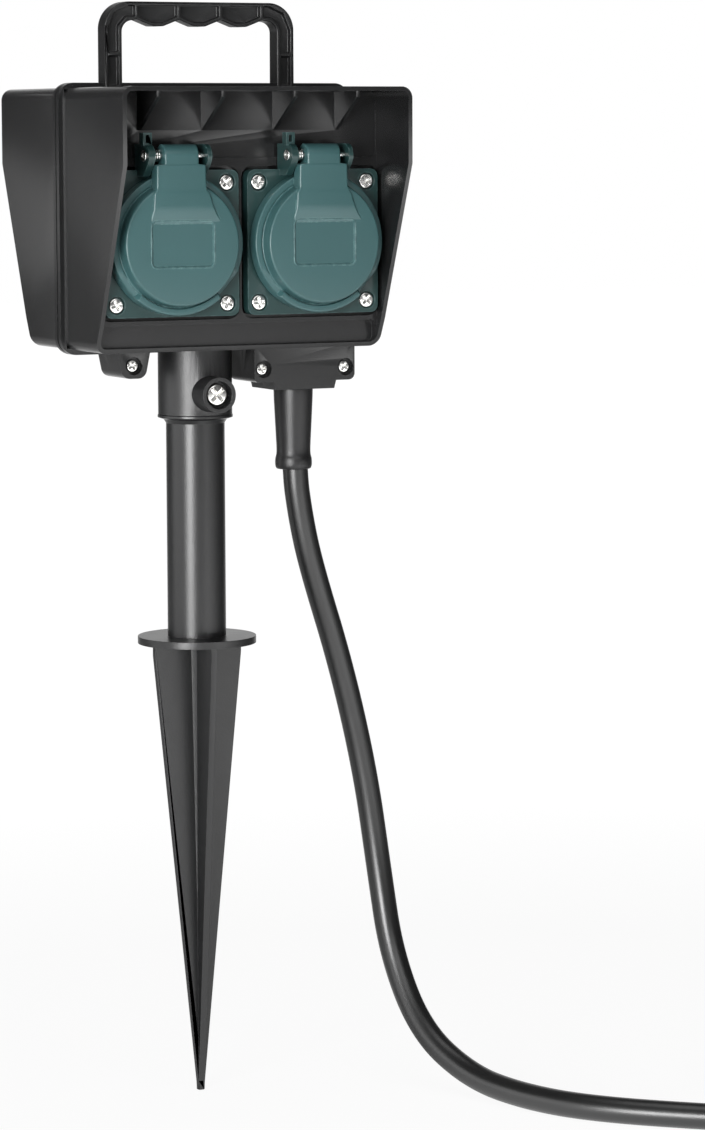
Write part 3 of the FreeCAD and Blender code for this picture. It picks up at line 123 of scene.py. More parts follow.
def softProfile(corners, steps=4):
    # a profile whose listed corners (r, d, rounding) are replaced by short quadratic curves
    result = []
    for k, corner in enumerate(corners):
        p = np.array(corner[:2], float)
        if len(corner) < 3 or k in (0, len(corners) - 1):
            result.append(p)
            continue
        ends = []
        for neighbour in (corners[k - 1], corners[k + 1]):
            edge = np.array(neighbour[:2], float) - p
            length = np.linalg.norm(edge)
            ends.append(p + edge / length * min(corner[2], meshSettings["largestRounding"] * length))
        t = np.linspace(0.0, 1.0, steps + 1)[:, None]
        result.extend((1 - t) ** 2 * ends[0] + 2 * t * (1 - t) * p + t ** 2 * ends[1])
    return np.array(result)


def smoothed(mesh, sharpAngle):
    mesh.shade_smooth()
    mesh.set_sharp_from_angle(angle=math.radians(sharpAngle))


def closedPiece(name, points, faces, material, sharpAngle=meshSettings["sharpAngle"]):
    # a piece from points in millimetres: merges the pole rings, closes open ends, turns every face outwards
    mesh = bpy.data.meshes.new(name)
    mesh.from_pydata([tuple(p) for p in np.asarray(points) * mm], [], faces)
    mesh.validate()
    mesh.materials.append(material)
    work = bmesh.new()
    work.from_mesh(mesh)
    bmesh.ops.remove_doubles(work, verts=work.verts, dist=meshSettings["mergeDistance"])
    bmesh.ops.dissolve_degenerate(work, edges=work.edges, dist=meshSettings["smallestEdge"])
    openEdges = [e for e in work.edges if e.is_boundary]
    if openEdges:
        bmesh.ops.holes_fill(work, edges=openEdges, sides=0)
    bmesh.ops.recalc_face_normals(work, faces=work.faces)
    work.to_mesh(mesh)
    work.free()
    smoothed(mesh, sharpAngle)
    return placed(name, mesh)


def turnedPiece(name, corners, count, centre, axis, material):
    profile = softProfile(corners)
    points = turnedGrid(profile, count, centre, axis)
    return closedPiece(name, points, gridFaces(len(profile), count, closedColumns=True), material)


def joined(name, pieces):
    # one piece from several meshes, with each face keeping its own material
    target = pieces[0]
    work = bmesh.new()
    slots = []
    for part in pieces:
        before = len(work.faces)
        work.from_mesh(part.data)
        work.faces.ensure_lookup_table()
        for material in part.data.materials:
            if material not in slots:
                slots.append(material)
        lookup = [slots.index(m) for m in part.data.materials]
        for k in range(before, len(work.faces)):
            face = work.faces[k]
            face.material_index = lookup[min(face.material_index, len(lookup) - 1)]
    mesh = bpy.data.meshes.new(name)
    work.to_mesh(mesh)
    work.free()
    for material in slots:
        mesh.materials.append(material)
    for part in pieces[1:]:
        bpy.data.objects.remove(part)
    target.data = mesh
    target.name = name
    mesh.name = name
    return target


softeningSettings = {
    "mergeDistance": 2e-6,
    "flatAngle": 0.5,
    "planeMargin": 1e-5,
    "sharpAngle": 35.0,
    "bevelAngle": 38.0,
}


def softenedCopy(nodeName, material, width, segments, flatten=True, openPlane=None):
    # a merged copy of a solid with its sharp edges rounded, as a moulded part has them; the planes at
    # y = +-openPlane keep their triangles, because a flat with openings in it has no single outline
    s = softeningSettings
    mesh = nodes[nodeName].data.copy()
    mesh.name = "softened_" + nodeName
    work = bmesh.new()
    work.from_mesh(mesh)
    bmesh.ops.remove_doubles(work, verts=work.verts, dist=s["mergeDistance"])
    if flatten:
        edges = [edge for edge in work.edges if openPlane is None
                 or any(abs(abs(v.co.y) - openPlane * mm) > s["planeMargin"] for v in edge.verts)]
        bmesh.ops.dissolve_limit(work, angle_limit=math.radians(s["flatAngle"]), verts=[], edges=edges)
    work.to_mesh(mesh)
    work.free()
    mesh.materials.clear()
    mesh.materials.append(material)
    smoothed(mesh, s["sharpAngle"])
    piece = placed(nodeName + "_shape", mesh)
    bevel = piece.modifiers.new("edges", "BEVEL")
    bevel.width = width * mm
    bevel.segments = segments
    bevel.limit_method = "ANGLE"
    bevel.angle_limit = math.radians(s["bevelAngle"])
    bevel.use_clamp_overlap = True
    bevel.miter_outer = "MITER_ARC"
    bevel.harden_normals = True
    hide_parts(nodeName)
    return piece


# shader groups
surfaceSettings = {
    "coarseScale": 0.31,  # scale of the coarse grain against the fine one
    "fineShare": 0.65,
    "coarseShare": 0.35,
    "grainHeight": 0.00012,
    "cloudScale": 22.0,
    "smearScale": 140.0,
    "smearShare": 0.6,
    "edgeTurn": (0.99, 0.86),  # cosine between the true and the rounded normal, from no rub to full rub
    "breakScale": 420.0,
    "breakRange": (0.42, 0.62),
    "dustUpward": (0.1, 0.95),
    "patchScale": 60.0,
    "patchRange": (0.35, 0.75),
    "patchShare": 0.6,
    "speckScale": 1900.0,
    "speckRange": (0.62, 0.74),
    "speckShare": 0.5,
    # reach of the edge mask that paints rubbed wear and a highlight along rounded edges
    "wearAndHighlightReach": 0.0005,
    "dustColour": (0.30, 0.29, 0.27),
}


def feed(tree, socket, value):
    # a node's output is linked to the socket, and anything else is set on it
    if isinstance(value, bpy.types.NodeSocket):
        tree.links.new(value, socket)
    else:
        socket.default_value = value


def fedNode(tree, kind, output, **values):
    node = tree.nodes.new(kind)
    for key, value in values.items():
        feed(tree, node.inputs[key.replace("_", " ")], value)
    return node.outputs[output]


def mathNode(tree, operation, a, b, clamp=False):
    node = tree.nodes.new("ShaderNodeMath")
    node.operation = operation
    node.use_clamp = clamp
    feed(tree, node.inputs[0], a)
    feed(tree, node.inputs[1], b)
    return node.outputs[0]


def vectorNode(tree, operation, output, *values):
    node = tree.nodes.new("ShaderNodeVectorMath")
    node.operation = operation
    for socket, value in zip(node.inputs, values):
        feed(tree, socket, value)
    return node.outputs[output]


def noiseNode(tree, vector, scale, detail, roughness=0.5):
    return fedNode(tree, "ShaderNodeTexNoise", "Fac", Vector=vector, Scale=scale, Detail=detail, Roughness=roughness)


def rangeNode(tree, value, low, high, toLow=0.0, toHigh=1.0):
    return fedNode(tree, "ShaderNodeMapRange", "Result", Value=value, From_Min=low, From_Max=high,
                   To_Min=toLow, To_Max=toHigh)


def bumpNode(tree, height, strength, distance):
    return fedNode(tree, "ShaderNodeBump", "Normal", Height=height, Strength=strength, Distance=distance)


def objectPlace(tree):
    return tree.nodes.new("ShaderNodeTexCoord").outputs["Object"]


def newGroup(name, inputs, outputs):
    group = bpy.data.node_groups.new(name, "ShaderNodeTree")
    for socketName, default in inputs:
        socket = group.interface.new_socket(socketName, in_out="INPUT", socket_type="NodeSocketFloat")
        socket.default_value = default
    for socketName, kind in outputs:
        group.interface.new_socket(socketName, in_out="OUTPUT", socket_type=kind)
    return group, group.nodes.new("NodeGroupInput").outputs, group.nodes.new("NodeGroupOutput").inputs


def buildGrainGroup():
    # spark-eroded mould grain: two sizes of noise as bump height, with a slow change of sheen over the surface
    s = surfaceSettings
    group, entry, result = newGroup(
        "mouldGrain",
        [("Grain Scale", 3200.0), ("Grain Depth", 0.35), ("Base Roughness", 0.45), ("Sheen Change", 0.08)],
        [("Normal", "NodeSocketVector"), ("Roughness", "NodeSocketFloat"), ("Cloud", "NodeSocketFloat")])
    place = objectPlace(group)
    fine = noiseNode(group, place, entry["Grain Scale"], 2.0, 0.6)
    coarse = noiseNode(group, place, mathNode(group, "MULTIPLY", entry["Grain Scale"], s["coarseScale"]), 2.0)
    height = mathNode(group, "ADD", mathNode(group, "MULTIPLY", fine, s["fineShare"]),
                      mathNode(group, "MULTIPLY", coarse, s["coarseShare"]))
    cloud = noiseNode(group, place, s["cloudScale"], 4.0, 0.55)
    smear = noiseNode(group, place, s["smearScale"], 5.0, 0.6)
    change = mathNode(group, "ADD", mathNode(group, "SUBTRACT", cloud, 0.5),
                      mathNode(group, "MULTIPLY", mathNode(group, "SUBTRACT", smear, 0.5), s["smearShare"]))
    sheen = mathNode(group, "MULTIPLY", change, entry["Sheen Change"])
    feed(group, result["Normal"], bumpNode(group, height, entry["Grain Depth"], s["grainHeight"]))
    feed(group, result["Roughness"], mathNode(group, "ADD", entry["Base Roughness"], sheen, clamp=True))
    feed(group, result["Cloud"], cloud)
    return group


def buildEdgeGroup():
    # edge mask for rubbed wear and a painted highlight: the rounded normal leaves the true normal only near an edge,
    # and noise breaks the line up
    s = surfaceSettings
    group, entry, result = newGroup("edgeWearAndHighlight", [("Reach", 0.0004), ("Amount", 0.6)], [("Mask", "NodeSocketFloat")])
    bevel = group.nodes.new("ShaderNodeBevel")
    bevel.samples = 4
    feed(group, bevel.inputs["Radius"], entry["Reach"])
    trueNormal = group.nodes.new("ShaderNodeNewGeometry").outputs["Normal"]
    turned = vectorNode(group, "DOT_PRODUCT", "Value", bevel.outputs["Normal"], trueNormal)
    broken = noiseNode(group, objectPlace(group), s["breakScale"], 4.0, 0.65)
    wearAndHighlightLine = mathNode(group, "MULTIPLY", rangeNode(group, turned, *s["edgeTurn"]),
                    rangeNode(group, broken, *s["breakRange"]))
    feed(group, result["Mask"], mathNode(group, "MULTIPLY", wearAndHighlightLine, entry["Amount"], clamp=True))
    return group


def buildDustGroup():
    # fine dust that lies on what faces up, in slow patches with specks between them
    s = surfaceSettings
    group, entry, result = newGroup("settledDust", [("Amount", 0.15)], [("Mask", "NodeSocketFloat")])
    split = group.nodes.new("ShaderNodeSeparateXYZ")
    feed(group, split.inputs[0], group.nodes.new("ShaderNodeNewGeometry").outputs["Normal"])
    upward = rangeNode(group, split.outputs["Z"], *s["dustUpward"])
    place = objectPlace(group)
    patches = rangeNode(group, noiseNode(group, place, s["patchScale"], 5.0, 0.6), *s["patchRange"])
    specks = rangeNode(group, noiseNode(group, place, s["speckScale"], 2.0), *s["speckRange"])
    both = mathNode(group, "ADD", mathNode(group, "MULTIPLY", patches, s["patchShare"]),
                    mathNode(group, "MULTIPLY", specks, s["speckShare"]))
    dusty = mathNode(group, "MULTIPLY", upward, both)
    feed(group, result["Mask"], mathNode(group, "MULTIPLY", dusty, entry["Amount"], clamp=True))
    return group


grainGroup = buildGrainGroup()
edgeGroup = buildEdgeGroup()
dustGroup = buildDustGroup()
print("shader groups built")


def groupNode(tree, group, **values):
    node = tree.nodes.new("ShaderNodeGroup")
    node.node_tree = group
    for key, amount in values.items():
        node.inputs[key.replace("_", " ")].default_value = amount
    return node


def mixColour(tree, factor, a, b):
    node = tree.nodes.new("ShaderNodeMix")
    node.data_type = "RGBA"
    for k, amount in ((0, factor), (6, a), (7, b)):
        feed(tree, node.inputs[k], amount + (1.0,) if isinstance(amount, tuple) else amount)
    return node.outputs[2]


def newMaterial(name):
    material = bpy.data.materials.new(name)
    material.use_nodes = True
    tree = material.node_tree
    shader = tree.nodes["Principled BSDF"]
    return material, tree, shader


def plasticMaterial(name, colour, shade, wearAndHighlightColour, roughness, grainScale, grainDepth, wearAndHighlightAmount, dust,
                    sheenChange, specular):
    material, tree, shader = newMaterial(name)
    grain = groupNode(tree, grainGroup, Grain_Scale=grainScale, Grain_Depth=grainDepth,
                      Base_Roughness=roughness, Sheen_Change=sheenChange)
    edge = groupNode(tree, edgeGroup, Reach=surfaceSettings["wearAndHighlightReach"], Amount=wearAndHighlightAmount)
    settled = groupNode(tree, dustGroup, Amount=dust)
    base = mixColour(tree, grain.outputs["Cloud"], colour, shade)
    # the lighter edge colour along rounded edges is partly rubbed wear and partly a painted highlight
    wornAndHighlit = mixColour(tree, edge.outputs["Mask"], base, wearAndHighlightColour)
    dusty = mixColour(tree, settled.outputs["Mask"], wornAndHighlit, surfaceSettings["dustColour"])
    feed(tree, shader.inputs["Base Color"], dusty)
    feed(tree, shader.inputs["Roughness"], grain.outputs["Roughness"])
    feed(tree, shader.inputs["Normal"], grain.outputs["Normal"])
    feed(tree, shader.inputs["Specular IOR Level"], specular)
    return material


metalSettings = {
    "blotchScale": 700.0,
    "blotchRange": (0.3, 0.7),
    "sheenRange": (0.25, 0.75),
    "smoothest": 0.75,  # shares of the metal's own roughness in its smoothest and roughest blotches
    "roughest": 1.3,
    "fineScale": 5200.0,
    "bumpStrength": 0.15,
    "bumpHeight": 0.00005,
}


def metalMaterial(name, colour, tint, roughness):
    s = metalSettings
    material, tree, shader = newMaterial(name)
    place = objectPlace(tree)
    blotch = noiseNode(tree, place, s["blotchScale"], 4.0, 0.6)
    fine = noiseNode(tree, place, s["fineScale"], 3.0, 0.6)
    rough = rangeNode(tree, blotch, *s["sheenRange"], roughness * s["smoothest"], roughness * s["roughest"])
    feed(tree, shader.inputs["Base Color"], mixColour(tree, rangeNode(tree, blotch, *s["blotchRange"]), colour, tint))
    feed(tree, shader.inputs["Roughness"], rough)
    feed(tree, shader.inputs["Normal"], bumpNode(tree, fine, s["bumpStrength"], s["bumpHeight"]))
    feed(tree, shader.inputs["Metallic"], 1.0)
    return material


# name, colour, shade, edge colour (rubbed wear and painted highlight), roughness, grain scale, grain depth, amount of
# edge wear and painted highlight, dust, change of sheen, specular
plastics = {
    "shell": ("black moulded shell", (0.0095, 0.0097, 0.0100), (0.0125, 0.0127, 0.0131), (0.065, 0.066, 0.068),
              0.24, 2600.0, 0.20, 0.5, 0.03, 0.08, 0.5),
    "handle": ("grained black handle", (0.0065, 0.0067, 0.0070), (0.0090, 0.0092, 0.0096), (0.04, 0.041, 0.043),
               0.38, 1800.0, 0.70, 0.6, 0.03, 0.08, 0.5),
    "spike": ("charcoal spike plastic", (0.0062, 0.0064, 0.0068), (0.0085, 0.0088, 0.0093), (0.05, 0.051, 0.054),
              0.32, 2100.0, 0.55, 0.5, 0.03, 0.08, 0.6),
    "collar": ("charcoal collar plastic", (0.0062, 0.0064, 0.0068), (0.0085, 0.0088, 0.0093), (0.05, 0.051, 0.054),
               0.37, 2000.0, 0.65, 0.4, 0.03, 0.08, 0.6),
    "plate": ("petrol green plate", (0.010, 0.033, 0.032), (0.013, 0.040, 0.039), (0.13, 0.21, 0.21),
              0.36, 2600.0, 0.28, 0.85, 0.02, 0.08, 0.5),
    "lid": ("petrol green lid", (0.034, 0.090, 0.093), (0.040, 0.102, 0.105), (0.17, 0.30, 0.30),
            0.34, 2800.0, 0.25, 0.7, 0.02, 0.08, 0.5),
    "boot": ("grey soft boot", (0.009, 0.009, 0.0095), (0.012, 0.012, 0.0126), (0.05, 0.05, 0.05),
             0.38, 2400.0, 0.5, 0.3, 0.03, 0.08, 0.5),
    "cord": ("black rubber cord", (0.0042, 0.0043, 0.0045), (0.0060, 0.0061, 0.0064), (0.02, 0.02, 0.02),
             0.34, 1500.0, 0.12, 0.0, 0.04, 0.08, 0.75),
    "plug": ("black rubber plug", (0.010, 0.010, 0.0104), (0.013, 0.013, 0.0134), (0.04, 0.04, 0.04),
             0.45, 2200.0, 0.45, 0.4, 0.03, 0.08, 0.5),
    "seal": ("dark foam seal", (0.020, 0.020, 0.020), (0.028, 0.028, 0.028), (0.04, 0.04, 0.04),
             0.85, 1300.0, 0.9, 0.0, 0.02, 0.05, 0.25),
    "block": ("pale contact block", (0.55, 0.54, 0.49), (0.48, 0.47, 0.43), (0.6, 0.6, 0.56),
              0.5, 2400.0, 0.2, 0.0, 0.02, 0.05, 0.5),
}
# name, colour, tint of the blotches, roughness
metals = {
    "zinc": ("bright zinc", (0.86, 0.85, 0.82), (0.76, 0.76, 0.75), 0.22),
    "brass": ("contact brass", (0.72, 0.56, 0.28), (0.62, 0.47, 0.24), 0.3),
    "spring steel": ("plated spring steel", (0.62, 0.61, 0.58), (0.5, 0.5, 0.49), 0.28),
    "nickel": ("nickel plating", (0.70, 0.68, 0.63), (0.62, 0.60, 0.56), 0.2),
}
finishes = {finish: plasticMaterial(*values) for finish, values in plastics.items()}
finishes.update({finish: metalMaterial(*values) for finish, values in metals.items()})
print("finishes made:", len(finishes))


def dress(nodeName, finish):
    mesh = nodes[nodeName].data
    mesh.materials.clear()
    mesh.materials.append(finishes[finish])


# head, handle, collar and spike
bodySettings = {  # finish, width of the rounded edges, their segments
    "front_shell": ("shell", 0.45, 3),
    "rear_shell": ("shell", 0.45, 3),
    "handle": ("handle", 0.45, 3),
    "spike_collar": ("collar", 0.35, 2),
    "ground_spike": ("spike", 0.35, 2),
}
for nodeName, (finish, width, segments) in bodySettings.items():
    piece = softenedCopy(nodeName, finishes[finish], width, segments,
                         flatten=nodeName != "handle", openPlane=layout["deckFront"])
    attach(piece, fixedBody)
print("head, handle, collar and spike dressed")


# sockets: plates, contacts, hinge pins and lid springs
hingeSettings = {
    "pinRadius": 1.0,
    "headRadius": 2.1,
    "headHeight": 0.6,
    "headHole": 0.85,
    "leftEnd": -12.8,
    "rightEnd": 11.3,
    "springWire": 0.36,
    "springRadius": 1.7,
    "springStart": -10.0,
    "springEnd": -7.3,
    "springTurns": 3.25,
    "stepsPerTurn": 28,
    "wireSides": 8,
    "pinSides": 40,
}
insertEdges = {"plate": (0.42, 3), "seal": (0.2, 2)}  # width of the rounded edges, their segments
contactBackSettings = {"spacing": 9.5, "radius": 2.9, "thickness": 0.45, "fromSeam": 7.58, "sides": 24}


def onSocket(points, socket):
    # points (x, forward, z) given on the socket's own front, placed on the front or the rear of the head
    points = np.asarray(points, float)
    return np.stack([socket["x"] - socket["facing"] * points[:, 0],
                     socket["facing"] * (layout["plateFront"] + points[:, 1]),
                     layout["socketLevel"] + points[:, 2]], axis=1)


def socketPoint(socket, *place):
    return onSocket([place], socket)[0]


def tubePiece(name, path, radius, sides, material):
    # a circle carried along the path, square to the path's own direction at each point; no path runs along x
    tangent = np.gradient(path, axis=0)
    tangent /= np.linalg.norm(tangent, axis=1)[:, None]
    u = np.cross(np.array([1.0, 0.0, 0.0]), tangent)
    u /= np.linalg.norm(u, axis=1)[:, None]
    v = np.cross(tangent, u)
    angle = np.linspace(0.0, 2.0 * np.pi, sides, endpoint=False)
    points = path[:, None, :] + radius * (np.cos(angle)[None, :, None] * u[:, None, :]
                                          + np.sin(angle)[None, :, None] * v[:, None, :])
    return closedPiece(name, points.reshape(-1, 3), gridFaces(len(path), sides, closedColumns=True), material)


def springPiece(name, socket, material):
    # wire carried along a helix round the hinge pin: (start + step*t, R cos t, R sin t)
    s = hingeSettings
    steps = int(s["stepsPerTurn"] * s["springTurns"])
    t = np.linspace(0.0, 2.0 * np.pi * s["springTurns"], steps)
    along = np.linspace(s["springStart"], s["springEnd"], steps)
    centre = socketPoint(socket, 0.0, layout["hingeForward"], layout["hingeHeight"])
    path = np.stack([centre[0] - socket["facing"] * along, centre[1] + s["springRadius"] * np.cos(t),
                     centre[2] + s["springRadius"] * np.sin(t)], axis=1)
    return tubePiece(name, path, s["springWire"], s["wireSides"], material)


def hingeRod(name, socket, material):
    # turned pin: hollow rivet head outside the left ear, straight shank, small dome outside the right ear
    s = hingeSettings
    left = s["leftEnd"]
    corners = [(0.0, left + 0.7), (s["headHole"] - 0.1, left + 0.6, 0.2), (s["headHole"], left - s["headHeight"], 0.2),
               (s["headRadius"] - 0.2, left - s["headHeight"] - 0.1, 0.3), (s["headRadius"], left, 0.35),
               (s["pinRadius"], left), (s["pinRadius"], s["rightEnd"] - 0.1, 0.3), (0.5, s["rightEnd"] + 0.1, 0.3),
               (0.0, s["rightEnd"] + 0.15)]
    centre = socketPoint(socket, 0.0, layout["hingeForward"], layout["hingeHeight"])
    return turnedPiece(name, corners, s["pinSides"], centre, (-float(socket["facing"]), 0.0, 0.0), material)


for name, socket in sockets.items():
    plate = softenedCopy(name + "_plate", finishes["plate"], *insertEdges["plate"])
    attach(plate, fixedBody)
    seal = softenedCopy(name + "_seal", finishes["seal"], *insertEdges["seal"])
    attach(seal, fixedBody)
    for part, finish in (("_contact_block", "block"), ("_contacts", "brass"), ("_earth_clip", "spring steel")):
        dress(name + part, finish)
    # the closed end of each contact sleeve, so that no light shows through the head
    s = contactBackSettings
    disc = [(0.0, 0.0), (s["radius"], 0.0), (s["radius"], -s["thickness"]), (0.0, -s["thickness"])]
    ends = [turnedPiece(name + "_contact_back", disc, s["sides"],
                        socketPoint(socket, x, s["fromSeam"] - layout["plateFront"], 0.0),
                        (0.0, float(socket["facing"]), 0.0), finishes["brass"])
            for x in (-s["spacing"], s["spacing"])]
    backs = joined(name + "_contact_backs", ends)
    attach(backs, fixedBody)
    pin = hingeRod(name + "_hinge_rod", socket, finishes["zinc"])
    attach(pin, fixedBody)
    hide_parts(name + "_hinge_pin")
    spring = springPiece(name + "_lid_spring", socket, finishes["zinc"])
    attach(spring, fixedBody)
print("plates, seals, contacts, hinge pins and springs made")


# lids: a turned cap with a thumb edge, a shallow recess, and the arm that carries the hinge barrel
lidSettings = {
    "columns": 240,
    "sharpAngle": 42.0,
    "ringOuter": 24.5,
    "ringInner": 22.5,
    "back": 0.4,
    "ringFront": 5.2,
    "crownRadius": 21.5,
    "crownFront": 9.6,
    "padSeat": 3.9,
    "thumbAngle": 41.0,
    "thumbEase": 1.3,
    "thumbRaise": 0.95,
    "scoopAngle": 67.0,
    "scoopEase": 14.0,
    "scoopDrop": 1.35,
    "scoopCut": 0.55,
    "labelHalfWidth": 11.2,
    "labelHalfHeight": 7.4,
    "labelDepth": 0.45,
    "labelFlare": 0.3,
    "labelCorner": 1.5,
    "labelRim": 0.2,
    "rimOffset": 0.62,
    "rimSides": 10,
    "armFront": 10.4,
    "armBack": 5.0,
    "armFoot": 7.0,
    "armShoulder": 26.4,
    "armNeck": [26.8, 27.0, 27.15, 27.3],
    # height and half width of the arm, to its left and to its right
    "armLeft": [(7.0, 12.4), (12.0, 11.2), (17.6, 10.9), (18.6, 10.0), (26.8, 9.9), (27.0, 9.7), (27.3, 6.9),
                (40.0, 6.9)],
    "armRight": [(7.0, 15.2), (10.0, 12.9), (13.0, 11.4), (17.4, 10.0), (18.6, 8.8), (26.8, 8.5), (27.0, 8.3),
                 (27.3, 5.9), (40.0, 5.9)],
    "armRounding": 0.8,
    "dipFrom": 13.0,  # below this height the front of the arm falls back, by the dip over the run
    "dipRun": 6.0,
    "dip": 0.95,
    "barrel": 3.9,
    "padBack": 2.6,
    "padRadius": 22.3,
    "padSides": 96,
    "padGroove": (19.6, 19.9, 20.8, 21.1),
    "padGrooveDepth": 0.12,
}


def softStep(amount):
    amount = np.clip(amount, 0.0, 1.0)
    return amount * amount * (3.0 - 2.0 * amount)


def lidCap():
    # the profile (r, n) turned round the socket's axis; the ring's front is lifted in the thumb sector
    # and scooped out in a slant on both sides of it
    s = lidSettings
    corners = [(0.0, s["padSeat"]), (s["ringInner"], s["padSeat"], 0.2), (s["ringInner"], s["back"], 0.2),
               (s["ringOuter"], s["back"], 0.35), (s["ringOuter"], s["ringFront"], 0.6),
               (s["crownRadius"] + 0.8, s["ringFront"], 0.25), (s["crownRadius"] + 0.4, s["ringFront"] - 0.45, 0.2),
               (s["crownRadius"], s["ringFront"] - 0.1, 0.3), (s["crownRadius"] - 0.3, s["crownFront"], 0.9),
               (0.0, s["crownFront"])]
    profile = softProfile(corners, 6)
    count = s["columns"]
    angle = np.linspace(0.0, 2.0 * np.pi, count, endpoint=False)
    r = profile[:, 0][:, None] * np.ones(count)
    n = profile[:, 1][:, None] * np.ones(count)
    fromBottom = np.degrees(np.abs(np.arctan2(np.sin(angle), -np.cos(angle))))[None, :]
    lift = softStep((s["thumbAngle"] - fromBottom) / s["thumbEase"])
    scoop = softStep((fromBottom - s["thumbAngle"] + 0.2) / 1.2)
    scoop = scoop * softStep((s["scoopAngle"] - fromBottom) / s["scoopEase"])
    onRing = np.clip((r - s["crownRadius"] - 0.5) / 0.3, 0.0, 1.0) * (n > 3.0)
    outward = np.clip((r - s["crownRadius"] - 0.4) / 2.6, 0.0, 1.0)
    n = n + onRing * (lift * s["thumbRaise"] - scoop * s["scoopDrop"] * (0.35 + 0.65 * outward))
    r = r - onRing * outward * scoop * s["scoopCut"]
    points = np.stack([r * np.sin(angle), n, r * np.cos(angle)], axis=2).reshape(-1, 3)
    return points, gridFaces(len(profile), count, closedColumns=True)


def lidArm():
    # stacked rounded rectangles: half widths and depths follow the height z, and the top closes as the barrel
    s = lidSettings
    h, b = layout["hingeHeight"], s["barrel"]
    neck = s["armNeck"]
    z = np.concatenate([np.linspace(s["armFoot"], s["armShoulder"], 30), neck,
                        np.linspace(neck[-1], h, 8)[1:], h + b * np.sin(np.linspace(0.06, 1.5, 14))])
    left = np.interp(z, *np.array(s["armLeft"]).T)
    right = np.interp(z, *np.array(s["armRight"]).T)
    reach = np.sqrt(np.clip(b * b - (z - h) ** 2, 0.0, None))
    frontFace = np.where(z < h, s["armFront"], layout["hingeForward"] + reach)
    dip = s["dip"] * (np.clip(s["dipFrom"] - z, 0.0, None) / s["dipRun"]) ** 1.5
    frontFace = frontFace - dip
    backFace = np.where(z > h - b, layout["hingeForward"] - reach, s["armBack"])
    backFace = np.where(z <= h - b, s["armBack"] + np.clip(z - 24.0, 0.0, None) * 0.65, backFace)
    rounding = np.minimum(s["armRounding"], 0.35 * (frontFace - backFace))
    quarter = np.linspace(0.0, np.pi / 2.0, 9)
    ring = []
    for cx, cn, sx, sn, order in ((right, frontFace, 1, 1, 1), (-left, frontFace, -1, 1, -1),
                                  (-left, backFace, -1, -1, 1), (right, backFace, 1, -1, -1)):
        a = quarter[::order]
        px = cx[:, None] - sx * rounding[:, None] * (1.0 - np.cos(a))
        pn = cn[:, None] - sn * rounding[:, None] * (1.0 - np.sin(a))
        ring.append(np.stack([px, pn], axis=2))
    ring = np.concatenate(ring, axis=1)
    columns = ring.shape[1]
    points = np.concatenate([ring, np.repeat(z[:, None, None], columns, axis=1)], axis=2)
    return points.reshape(-1, 3), gridFaces(len(z), columns, closedColumns=True)


def roundedOutline(halfWidth, halfHeight, corner):
    # points and outward directions along a rectangle with round corners:
    # centre of the corner + corner * (cos a, sin a)
    quarter = np.linspace(0.0, np.pi / 2.0, 7)
    places, ways = [], []
    for sx, sz, order in ((1, 1, 1), (-1, 1, -1), (-1, -1, 1), (1, -1, -1)):
        a = quarter[::order]
        way = np.stack([sx * np.cos(a), sz * np.sin(a)], axis=1)
        places.append(np.array([sx * (halfWidth - corner), sz * (halfHeight - corner)]) + corner * way)
        ways.append(way)
    return np.concatenate(places), np.concatenate(ways)


def recessTool():
    # the rounded rectangle stacked at three depths, with the wall flared towards the front
    s = lidSettings
    places, ways = roundedOutline(s["labelHalfWidth"], s["labelHalfHeight"], s["labelCorner"])
    depths = np.array([s["crownFront"] - s["labelDepth"], s["crownFront"] + 0.02, s["crownFront"] + 1.0])
    flare = np.array([0.0, s["labelFlare"], s["labelFlare"] + 0.1])
    flat = places[None] + flare[:, None, None] * ways[None]
    points = np.stack([flat[:, :, 0], depths[:, None] * np.ones(len(places)), flat[:, :, 1]], axis=2)
    return points.reshape(-1, 3), gridFaces(3, len(places), closedColumns=True)


def recessRim():
    # a thin round bead carried along the edge of the recess: place + rho (cos b * way + sin b * forward)
    s = lidSettings
    places, ways = roundedOutline(s["labelHalfWidth"] + s["rimOffset"], s["labelHalfHeight"] + s["rimOffset"],
                                  s["labelCorner"] + 0.5)
    b = np.linspace(0.0, 2.0 * np.pi, s["rimSides"], endpoint=False)
    flat = places[:, None, :] + s["labelRim"] * np.cos(b)[None, :, None] * ways[:, None, :]
    depth = s["crownFront"] - 0.03 + s["labelRim"] * np.sin(b)[None, :] * np.ones((len(places), 1))
    points = np.stack([flat[:, :, 0], depth, flat[:, :, 1]], axis=2)
    return points.reshape(-1, 3), gridFaces(len(places), len(b), closedRows=True, closedColumns=True)


def cutOut(piece, tool):
    # the tool's shape taken out of the piece, with the cut worked into the mesh
    boolean = piece.modifiers.new("recess", "BOOLEAN")
    boolean.operation = "DIFFERENCE"
    boolean.object = tool
    boolean.solver = "EXACT"
    bpy.context.view_layer.update()
    mesh = bpy.data.meshes.new_from_object(piece.evaluated_get(bpy.context.evaluated_depsgraph_get()))
    piece.modifiers.clear()
    piece.data = mesh
    bpy.data.objects.remove(tool)


